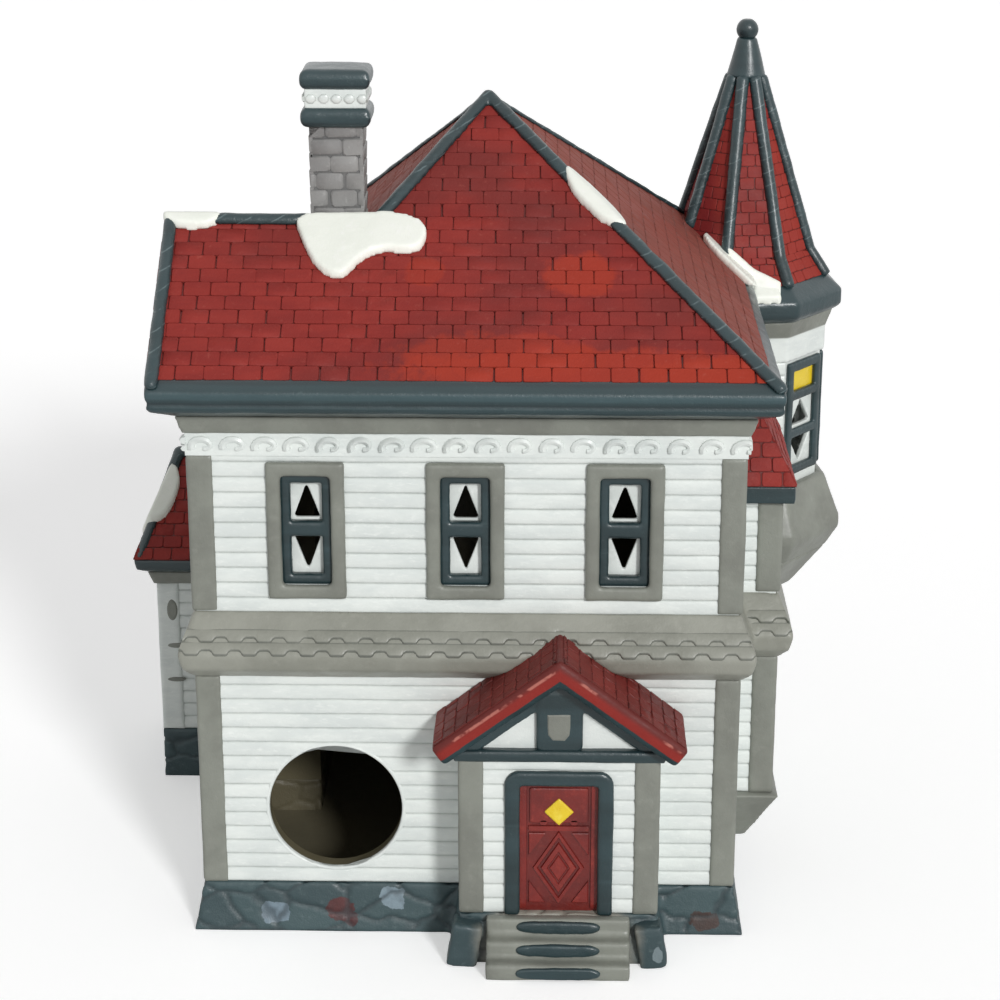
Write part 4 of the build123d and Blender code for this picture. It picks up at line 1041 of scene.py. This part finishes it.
door_colour = grooved(brushed(tone(102, 23, 19), tone(130, 33, 25), tone(158, 56, 42)), tone(66, 12, 10))
door_glaze = glaze("door_glaze", door_colour, roughness=(0.32, 0.5), coat=0.25, relief=0.0005)
skinned("front_door", door_glaze, "door_red", fineness=0.35, rounds=2, waver=0.2, lumps=150)

# Frieze and cornice: a white band of running scrolls pressed under the eaves, with a grey cornice over it.
# The scrolls are one small stamp, repeated along the band.
def scroll_form():
    """One scroll of the frieze: a raised arch that curls in at one end, round a small bead."""
    form = bmesh.new()
    path = []
    for step in range(13):
        turn = math.radians(205 - 24 * step)
        reach = 2.2 - 0.11 * step
        x = 0.3 + reach * math.cos(turn) * 1.3
        y = -0.3 + reach * math.sin(turn) * 0.92
        path.append((x, y, 0.95 - 0.03 * step))
    rings = []
    for index, (x, y, thick) in enumerate(path):
        ahead = path[min(index + 1, len(path) - 1)]
        behind = path[max(index - 1, 0)]
        run = Vector((ahead[0] - behind[0], ahead[1] - behind[1], 0)).normalized()
        side = Vector((run.y, -run.x, 0))
        ring = []
        for share, lift in ((1.0, -0.2), (0.8, 0.45), (0.0, 0.8), (-0.8, 0.45), (-1.0, -0.2)):
            spot = Vector((x, y, 0)) + side * thick * share
            ring.append(form.verts.new((spot.x * mm, spot.y * mm, lift * thick * 1.5 * mm)))
        rings.append(ring)
    for low, high in zip(rings, rings[1:]):
        for index in range(5):
            after = (index + 1) % 5
            form.faces.new((low[index], low[after], high[after], high[index]))
    form.faces.new(rings[0])
    form.faces.new(list(reversed(rings[-1])))
    bmesh.ops.recalc_face_normals(form, faces=form.faces)
    return as_mesh("scroll", form)


laid(
    "frieze_scrolls",
    scroll_form(),
    flat_faces("frieze", 60, -0.1, 0.1, house_middle),
    width=7.3 * mm, course=5.5 * mm, material=white_glaze, slot="white_glaze",
    rows=1, turn=0.05, tilt=0.0, spread=0.5 * mm,
)
skinned("cornice", grey_glaze, "grey_trim", fineness=0.6, rounds=3, waver=0.4, lumps=90)

# Eave: a deep slate moulding round the foot of the roof, rolled at its lip and glossy.
# A groove runs round the middle of it; the roll above the groove carries a painted highlight, and the groove
# and the top under the shingles carry painted shade.
def eave_colour(place):
    """Slate, with a painted highlight on the upper roll and painted shade in the groove and under the
    shingles.
    """
    height = axis_of(place, 2) + 0.0008 * (noise(place, 60, 3) - 0.5)
    # Painted highlight: a lighter band on the upper roll, where the glossy moulding catches the light.
    lit = ramped(height, 136.6 * mm, 137.4 * mm) * ramped(height, 139.0 * mm, 138.2 * mm)
    shade = between(0.35 * lit, slate_colour(place), tone(72, 98, 104))
    # Painted shade in the groove.
    groove = ramped(height, 135.2 * mm, 135.9 * mm) * ramped(height, 136.6 * mm, 135.9 * mm)
    shade = between(0.7 * groove, shade, tone(24, 38, 42))
    # Painted shade along the top, under the shingles.
    return between(0.8 * ramped(height, 139.8 * mm, 140.5 * mm), shade, tone(30, 44, 48))


eave_glaze = glaze("eave_glaze", eave_colour, roughness=(0.3, 0.45), coat=0.25, relief=0.0004)
eave_mesh = fired(["eave_moulding"], fineness=0.7 * mm, rounds=5, waver=0.5 * mm, lumps=60, kept=1.0)
outward = [vert.normal.copy() for vert in eave_mesh.vertices]
for vert, out in zip(eave_mesh.vertices, outward):
    vert.co -= out * 0.45 * mm * math.exp(-((vert.co.z / mm - 135.9) / 0.6) ** 2)
finished("eave_skin", eave_mesh, eave_glaze, "slate_trim", "eave_moulding")

# Roof slopes: six cast slopes under brick-like shingles in running bond, brushed in several reds.
# The slopes themselves only show as the dark joints between the shingles.
def roof_colour(place):
    """Red shingles: each its own shade, with brown and orange washes, dark edges and pale flecks."""
    tint = marked(place, "tint")
    edge = marked(place, "wash")
    streak = noise(place, 170, 4, (0.5, 1.6, 1.6))
    shade = between(0.45 * tint + 0.55 * ramped(streak, 0.35, 0.65), tone(132, 42, 38), tone(150, 51, 44))
    shade = between(0.75 * ramped(noise(place, 30, 3, (0.6, 1, 1)), 0.45, 0.65), shade, tone(116, 44, 41))
    for middle, reach, strength in (
        ((25.7, -42.9, 159.3), (8.0, 7.0, 6.0), 0.75),
        ((-10.0, -42.4, 159.7), (4.5, 4.0, 4.0), 0.5),
        ((30.0, -66.0, 142.2), (46.0, 7.5, 6.0), 0.7),
        ((7.0, -62.0, 145.0), (22.0, 7.0, 6.0), 0.6),
        ((57.0, -66.2, 142.3), (18.0, 5.0, 4.0), 0.8),
    ):
        shade = between(strength * blot(place, middle, reach, 0.9), shade, tone(168, 56, 38))
    fleck = ramped(noise(place, 700, 4), 0.58, 0.82)
    shade = between(0.3 * fleck, shade, tone(186, 100, 88))
    pale = edge * ramped(noise(place, 330, 3), 0.6, 0.72)
    shade = between(0.35 * edge, shade, tone(88, 30, 27))
    return between(0.4 * pale, shade, tone(178, 92, 80))


def side_colour(place):
    """The roof's reds under a brown wash, as they are on the left and right slopes."""
    return between(0.4 + 0.3 * noise(place, 80, 3), roof_colour(place), tone(136, 88, 76))


roof_glaze = glaze("roof_glaze", roof_colour, roughness=(0.55, 0.7), coat=0.0, relief=0.0006, shine=0.25)
side_glaze = glaze("side_glaze", side_colour, roughness=(0.6, 0.75), coat=0.0, relief=0.0006, shine=0.2)
joint_colour = brushed(tone(84, 29, 26), tone(102, 36, 32), tone(124, 47, 41))
joint_glaze = glaze("joint_glaze", joint_colour, roughness=(0.6, 0.75), coat=0.0, relief=0.0005)
slope_nodes = (
    "roof_back_slope", "roof_front_slope", "roof_left_slope", "roof_right_slope",
    "gable_back_slope", "gable_front_slope",
)
bed = gathered("roof_bed", [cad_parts[node].data for node in slope_nodes])
bed.transform(Matrix.Translation((0, 0, -0.5 * mm)))
finished("roof_bed", bed, joint_glaze, "roof_red", *slope_nodes)
painted(joint_glaze, "turret_spire", "bay_roof", "porch_roof")
shingle = slab("shingle", cut_cornered(6.42, 3.93, 0.35), ((1.0, -0.9), (0.997, -0.16), (0.945, 0.02)))
shingle_width = 6.5 * mm
slope_lean = (0.3, 0.97)
laid(
    "back_shingles",
    shingle.copy(),
    flat_faces("roof_back_slope", 400, *slope_lean)
    + flat_faces("gable_back_slope", 400, *slope_lean),
    width=shingle_width, course=4.05 * mm, material=roof_glaze, slot="roof_red",
    one_field=True, seed=11,
)
for name, node, reds, seed in (
    ("front_shingles", "roof_front_slope", roof_glaze, 21),
    ("left_shingles", "roof_left_slope", side_glaze, 31),
    ("right_shingles", "roof_right_slope", side_glaze, 41),
    ("gable_front_shingles", "gable_front_slope", roof_glaze, 51),
):
    slopes = flat_faces(node, 300, *slope_lean)
    course = 2.39 * mm / max(face[1].z for face in slopes)
    laid(name, shingle.copy(), slopes, shingle_width, course, reds, "roof_red", seed=seed)

# Roof caps: rolled slate cappings along every hip and ridge, in short lengths.
# The joints between the lengths are pale where the brush missed them.
def cap_colour(place):
    """Slate with thin broken pale lines across the cappings."""
    across = axis_of(place, 0)
    height = axis_of(place, 2)
    lengths = (height - 0.5 * across + 0.0006 * noise(place, 300, 2)) / (3.5 * mm)
    part = lengths.node("ShaderNodeMath", {"operation": "FRACT"}, {0: lengths})
    joint = ramped(part, 0.86, 0.92) * ramped(part, 1.0, 0.95) * ramped(noise(place, 260, 3), 0.42, 0.6)
    return between(0.45 * joint, slate_colour(place), tone(126, 144, 147))


cap_glaze = glaze("cap_glaze", cap_colour, roughness=(0.3, 0.45), coat=0.25, relief=0.0006)
skinned("roof_caps", cap_glaze, "slate_trim", fineness=0.45, rounds=3, waver=0.6, lumps=180)

# Chimney: a stack of rough grey bricks with slate bands and a white beaded collar between them.
# It is cast hollow, with the bricks scored in the clay, and set on the gable's ridge before firing.
stack_middle = (-31.1, -23.4)
brick_colour = tinted(tone(122, 121, 120), tone(152, 151, 149), tone(176, 175, 172))
brick_glaze = glaze("brick_glaze", brick_colour, roughness=(0.5, 0.68), coat=0.05, relief=0.0006)
mortar_colour = brushed(tone(92, 92, 92), tone(108, 108, 107), tone(124, 124, 122))
mortar_glaze = glaze("mortar_glaze", mortar_colour, roughness=(0.6, 0.75), coat=0.0, relief=0.0005)
painted(mortar_glaze, "chimney_stack")
laid(
    "chimney_bricks",
    slab("brick", cut_cornered(6.75, 3.9, 0.6), ((1.0, -0.4), (0.99, 0.12), (0.88, 0.4))),
    flat_faces("chimney_stack", 60, -0.1, 0.1, (*stack_middle, 180)),
    width=6.9 * mm, course=4.05 * mm, material=brick_glaze, slot="brick",
    uneven=0.12, turn=0.05, tilt=0.05, spread=0.3 * mm, seed=61,
)
skinned("chimney_bands", slate_glaze, "slate_trim", fineness=0.4, rounds=9, waver=0.5, lumps=150, swell=0.3)
skinned("chimney_collar", white_glaze, "white_glaze", fineness=0.4, rounds=3, waver=0.2, lumps=150)
laid(
    "chimney_scrolls",
    slab("bead", cut_cornered(2.6, 2.2, 0.75), ((1.0, -0.3), (0.95, 0.25), (0.6, 0.55))),
    flat_faces("chimney_collar", 20, -0.1, 0.1, (*stack_middle, 197)),
    width=3.0 * mm, course=4.5 * mm, material=white_glaze, slot="white_glaze",
    rows=1,
)

# Bay: a square oriel on the right side, on a grey corbel, with a slate fascia and a small red roof.
# It is pressed in one with the right wall, and its trim is only brushed on.
skinned("bay_corbel", grey_glaze, "grey_trim", fineness=0.7, rounds=4, waver=0.5, lumps=90)
skinned("bay_fascia", slate_glaze, "slate_trim", fineness=0.5, rounds=4, waver=0.4, lumps=100)
small_shingle = slab("small_shingle", cut_cornered(4.9, 3.38, 0.4), ((1.0, -0.4), (0.995, 0.1), (0.93, 0.28)))
laid(
    "bay_shingles",
    small_shingle.copy(),
    flat_faces("bay_roof", 40, *slope_lean),
    width=5.0 * mm, course=3.5 * mm, material=roof_glaze, slot="roof_red", seed=71,
)

# Turret: an eight-sided oriel at the front corner, on a corbel and a grey skirt, under a tall red spire
# with slate ribs, a slate cap and a ball. It is cast in two and joined with slip under the eave.
cornice_levels = [vert.co.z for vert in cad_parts["turret_cornice"].data.vertices]
cornice_split = min(cornice_levels) + 0.6 * (max(cornice_levels) - min(cornice_levels))


def turret_cornice_colour(place):
    """Grey under the eave, and white below that, like the wall."""
    grey = trim_grey(place)
    height = axis_of(place, 2)
    upper = ramped(height, cornice_split - 0.3 * mm, cornice_split + 0.3 * mm)
    return between(upper, washed_white(place), grey)


turret_cornice_glaze = glaze("turret_cornice_glaze", turret_cornice_colour, **trim_finish)
for node, material, slot, fineness, rounds in (
    ("turret_corbel", grey_glaze, "grey_trim", 0.6, 4),
    ("turret_skirt", grey_glaze, "grey_trim", 0.6, 4),
    ("turret_cornice", turret_cornice_glaze, "grey_trim", 0.5, 3),
    ("turret_eave", slate_glaze, "slate_trim", 0.6, 4),
    ("spire_cap", slate_glaze, "slate_trim", 0.35, 3),
    ("spire_finial", slate_glaze, "slate_trim", 0.3, 2),
):
    skinned(node, material, slot, fineness, rounds, waver=0.3, lumps=120, swell=0.25)
skinned("spire_ribs", cap_glaze, "slate_trim", fineness=0.35, rounds=3, waver=0.5, lumps=160, swell=0.5)


def spire_colour(place):
    """The roof's reds, with painted shade in dark maroon on the left faces and painted light in orange-red on
    the right ones, which face the lamp.
    """
    across = axis_of(place, 0)
    # Painted shade on the left faces of the spire.
    shade = between(0.6 * ramped(across, 63 * mm, 60 * mm), roof_colour(place), tone(112, 22, 28))
    # Painted light on the right faces of the spire.
    return between(0.5 * ramped(across, 75 * mm, 78 * mm), shade, tone(156, 54, 42))


spire_glaze = glaze("spire_glaze", spire_colour, roughness=(0.55, 0.7), coat=0.0, relief=0.0005, shine=0.25)
spire_steps = ((1.0, -0.4), (0.995, 0.08), (0.93, 0.24))
spire_shingle = slab("spire_shingle", cut_cornered(3.92, 2.92, 0.3), spire_steps)
laid(
    "spire_shingles",
    spire_shingle,
    flat_faces("turret_spire", 40, 0.1, 0.97),
    width=4.0 * mm, course=3.0 * mm, material=spire_glaze, slot="roof_red", tilt=0.01, seed=81,
)

# Porch wing: a low wing at the left, with its own slate eave and a hipped red roof.
# It is cast with the house; raised grey marks of painted shade stand for the white turned posts on its back
# wall.
skinned("porch_cornice", grey_glaze, "grey_trim", fineness=0.6, rounds=3, waver=0.4, lumps=100)
skinned("porch_eave", slate_glaze, "slate_trim", fineness=0.6, rounds=4, waver=0.4, lumps=100)
laid(
    "porch_shingles",
    small_shingle.copy(),
    flat_faces("porch_roof", 40, *slope_lean),
    width=5.0 * mm, course=3.6 * mm, material=roof_glaze, slot="roof_red", seed=91,
)


def stood(mesh, x, y, z):
    """A flat piece stood upright on the back of the house, with its middle at a place in millimetres."""
    mesh.transform(Matrix(((1, 0, 0, x * mm), (0, 0, -1, y * mm), (0, 1, 0, z * mm), (0, 0, 0, 1))))
    return mesh


oval = [(math.cos(turn), math.sin(turn)) for turn in (2 * math.pi * step / 20 for step in range(20))]
mark_steps = ((1.0, -0.8), (0.96, 0.3), (0.75, 0.5))
porch_back = 23.9
marks = []
for x, z, wide, high in ((-83.0, 49.3, 1.5, 3.2), (-82.2, 38.9, 2.6, 0.8), (-82.6, 28.9, 2.6, 0.7)):
    mark = slab("mark", [(wide * side, high * rise) for side, rise in oval], mark_steps)
    marks.append(stood(mark, x, porch_back, z))
# Painted shade: grey marks for the shaded sides of the posts.
finished("porch_post_marks", gathered("marks", marks), grey_glaze, "grey_trim")

# Entry: a small gabled porch on the back, white with grey corners, a slate beam and gable trim,
# a vent in the gable and a red roof of two steep slopes.
def entry_roof_colour(place):
    """Brown-red, with a front rim that brightens downwards past a broken pale line, and slate below."""
    tiles = tinted(tone(100, 35, 31), tone(128, 44, 38), tone(160, 80, 68), 0.35)
    top = grooved(tiles, tone(70, 22, 20))(place)
    across = axis_of(place, 0)
    along = axis_of(place, 1)
    height = axis_of(place, 2)
    aside = across.node("ShaderNodeMath", {"operation": "ABSOLUTE"}, {0: across - entry_middle * mm})
    depth = 78.8 * mm - 0.7458 * aside - height + 0.0006 * (noise(place, 200, 3) - 0.5)
    front = ramped(along, -80.0 * mm, -80.8 * mm)
    bright = between(noise(place, 120, 4), tone(124, 31, 26), tone(148, 43, 34))
    rim = between(ramped(depth, 0.8 * mm, 2.6 * mm), tone(98, 35, 31), bright)
    shade = between(front, top, rim)
    line = ramped(depth, 0.9 * mm, 1.3 * mm) * ramped(depth, 2.1 * mm, 1.7 * mm)
    shade = between(0.6 * front * line * ramped(noise(place, 200, 3), 0.5, 0.6), shade, tone(206, 130, 116))
    return between(front * ramped(depth, 4.3 * mm, 4.6 * mm), shade, slate_colour(place))


entry_roof_glaze = glaze(
    "entry_roof_glaze", entry_roof_colour, roughness=(0.5, 0.66), coat=0.03, relief=0.0005, shine=0.3
)
entry_slopes = ["entry_roof_left", "entry_roof_right"]
entry_roof = fired(entry_slopes, fineness=0.6 * mm, rounds=12, waver=0.5 * mm, lumps=90, swell=0.15 * mm)
finished("entry_roof_skin", entry_roof, entry_roof_glaze, "roof_red", *entry_slopes)
laid(
    "entry_shingles",
    slab("entry_shingle", cut_cornered(4.5, 3.4, 0.4), ((1.0, -0.6), (0.995, 0.12), (0.92, 0.34))),
    flat_faces("entry_roof_left", 100, *slope_lean)
    + flat_faces("entry_roof_right", 100, *slope_lean),
    width=4.6 * mm, course=3.5 * mm, material=entry_roof_glaze, slot="roof_red",
    uneven=0.1, seed=101, spread=-0.9 * mm,
)
skinned("entry_beam", slate_glaze, "slate_trim", fineness=0.4, rounds=5, waver=0.4, lumps=120, swell=0.3)


def widest_part(mesh):
    """Only the widest of the separate solids in a mesh."""
    form = bmesh.new()
    form.from_mesh(mesh)
    left = set(form.verts)
    parts = []
    while left:
        reached = [left.pop()]
        part = []
        while reached:
            vert = reached.pop()
            part.append(vert)
            near = [edge.other_vert(vert) for edge in vert.link_edges]
            fresh = [other for other in near if other in left]
            left.difference_update(fresh)
            reached.extend(fresh)
        parts.append(part)
    parts.sort(key=lambda part: max(vert.co.x for vert in part) - min(vert.co.x for vert in part))
    bmesh.ops.delete(form, geom=[vert for part in parts[:-1] for vert in part], context="VERTS")
    form.to_mesh(mesh)
    form.free()
    return mesh


# The vent's slate surround is a block that runs up into the gable trim, round a grey shield.
vent_block = slab("vent_block", cut_cornered(10.6, 15.4, 0.9), ((1.0, -0.5), (0.98, 1.1), (0.9, 1.5)))
stood(vent_block, entry_middle, entry_front, 62.0)
gable_trim = gathered("gable_trim", [widest_part(cast_of(["entry_gable_trim"])), vent_block])
finished(
    "entry_gable_trim_skin",
    fired([], fineness=0.4 * mm, rounds=5, waver=0.4 * mm, lumps=120, swell=0.25 * mm, mesh=gable_trim),
    slate_glaze,
    "slate_trim",
    "entry_gable_trim",
)
shield = [
    (2.5, -1.9), (2.7, 0.0), (2.7, 3.3), (-2.7, 3.3), (-2.7, 0.0), (-2.5, -1.9), (-1.4, -3.3), (1.4, -3.3),
]
finished(
    "entry_vent_skin",
    stood(slab("vent_shield", shield, ((1.0, 1.0), (1.0, 1.75), (0.86, 2.0))), 21.6, entry_front, 60.6),
    grey_glaze,
    "grey_trim",
    "entry_vent_louvre",
)
frame_form = bmesh.new()
frame_form.from_mesh(cast_of(["entry_door_frame"]))
for side in (-1, 1):
    for turn in (20, 45, 70):
        away = Vector((side * math.cos(math.radians(turn)), 0, math.sin(math.radians(turn))))
        foot = (Vector((entry_middle + side * 9.3, 0, 45.6)) + away * 3.2) * mm
        whole = frame_form.verts[:] + frame_form.edges[:] + frame_form.faces[:]
        bmesh.ops.bisect_plane(
            frame_form, geom=whole, dist=1e-7, plane_co=foot, plane_no=away, clear_outer=True
        )
        open_edges = [edge for edge in frame_form.edges if edge.is_boundary]
        bmesh.ops.holes_fill(frame_form, edges=open_edges, sides=0)
frame_mesh = as_mesh("door_frame", frame_form)
finished(
    "entry_door_frame_skin",
    fired([], fineness=0.45 * mm, rounds=6, waver=0.4 * mm, lumps=110, swell=0.3 * mm, mesh=frame_mesh),
    slate_glaze,
    "slate_trim",
    "entry_door_frame",
)
diamond = [(6.1, 0.0), (0.0, 9.6), (-6.1, 0.0), (0.0, -9.6)]
lattice = (
    (1.0, -0.4, 1.0), (0.97, 0.1, 0.1), (0.84, 0.1, 0.1), (0.8, -0.3, 1.0), (0.7, -0.3, 1.0),
    (0.66, 0.15, 0.1), (0.46, 0.15, 0.1), (0.42, -0.1, 0.8), (0.36, -0.1, 0.8), (0.32, 0.2, 0.0),
)
raised = ((1.0, -0.6, 1.0), (0.97, -0.02, 0.5), (0.9, 0.08, 0.0))
door_face = -74.3
flush = ((1.0, -2.0, 0.6), (1.0, -0.4, 0.6))
pieces = [
    ("board", cut_cornered(18.6, 33.6, 0.2), flush, entry_middle, 28.8),
    ("lattice", diamond, lattice, entry_middle, 23.4),
    ("head", cut_cornered(14.0, 9.2, 0.3), raised, entry_middle, 39.6),
    ("rail", cut_cornered(14.6, 1.3, 0.2), raised, entry_middle, 33.7),
]
for side in (-1, 1):
    pieces.append(("stile", cut_cornered(1.7, 33.2, 0.2), raised, entry_middle + side * 8.4, 28.8))
    for rise in (-1, 1):
        wedge = [(side * 2.2, rise * 3.2), (side * 2.2, -rise * 2.6), (-side * 1.8, rise * 3.2)]
        if side * rise > 0:
            wedge.reverse()
        pieces.append(("wedge", wedge, raised, entry_middle + side * 4.9, 23.4 + rise * 6.0))
for x in (18.2, 21.8, 25.4):
    pieces.append(("boss", cut_cornered(1.9, 1.3, 0.4), raised, x, 35.2))
door_parts = [stood(slab(name, outline, steps), x, door_face, z) for name, outline, steps, x, z in pieces]
finished("entry_door_skin", gathered("entry_door", door_parts), door_glaze, "door_red", "entry_door")

# Steps: three shallow steps up to the entry, cast with it and brushed grey.
# A rounded slate bar is painted thickly on each riser.
skinned("entry_steps", grey_glaze, "grey_trim", fineness=0.7, rounds=4, waver=0.6, lumps=90)
bar = [
    (9.9 * math.copysign(abs(math.cos(turn)) ** 0.35, math.cos(turn)), 1.4 * math.sin(turn))
    for turn in (2 * math.pi * step / 32 for step in range(32))
]
bars = [
    stood(slab("bar", bar, ((1.0, -0.8), (0.99, 0.2), (0.96, 0.5), (0.86, 0.68))), entry_middle, front, rise)
    for front, rise in ((-86.4, 2.0), (-82.57, 6.0), (-78.73, 10.0))
]
bar_mesh = gathered("step_bars", bars)
risers = fired([], fineness=0.3 * mm, rounds=2, waver=0.7 * mm, lumps=160, swell=0.1 * mm, mesh=bar_mesh)
finished("step_risers_skin", risers, slate_glaze, "slate_trim", "step_risers")

# Snow: soft drifts on the ridge, the hips and the eaves, and a bank at the turret's foot.
# They are daubed on as thick white glaze before the firing.
snow_colour = brushed(tone(245, 248, 238), tone(251, 253, 244), tone(255, 255, 250))
snow_glaze = glaze("snow_glaze", snow_colour, roughness=(0.4, 0.6), coat=0.1, relief=0.0004)
drifts = fired(["snow_drifts"], fineness=0.4 * mm, rounds=6, waver=0.4 * mm, lumps=120, swell=0.3 * mm)
finished("snow_skin", drifts, snow_glaze, "snow", "snow_drifts")
bank = slab(
    "bank",
    [(3.3, -7.7), (8.1, -5.5), (8.1, -2.0), (1.2, 1.5), (-3.6, 5.8), (-7.3, 9.0), (-5.2, 3.0), (0.1, -3.9)],
    ((1.0, -3.0), (1.0, 0.3), (0.85, 0.9), (0.5, 1.2)),
)
leaning = Matrix(((1, 0, 0), (0, 0.417, -0.909), (0, 0.909, 0.417))).to_4x4()
leaning.translation = Vector((70.7, 31.1, 141.5)) * mm
bank.transform(leaning)
turret_bank = fired([], fineness=0.4 * mm, rounds=6, waver=0.4 * mm, lumps=120, mesh=bank)
finished("turret_snow", turret_bank, snow_glaze, "snow")
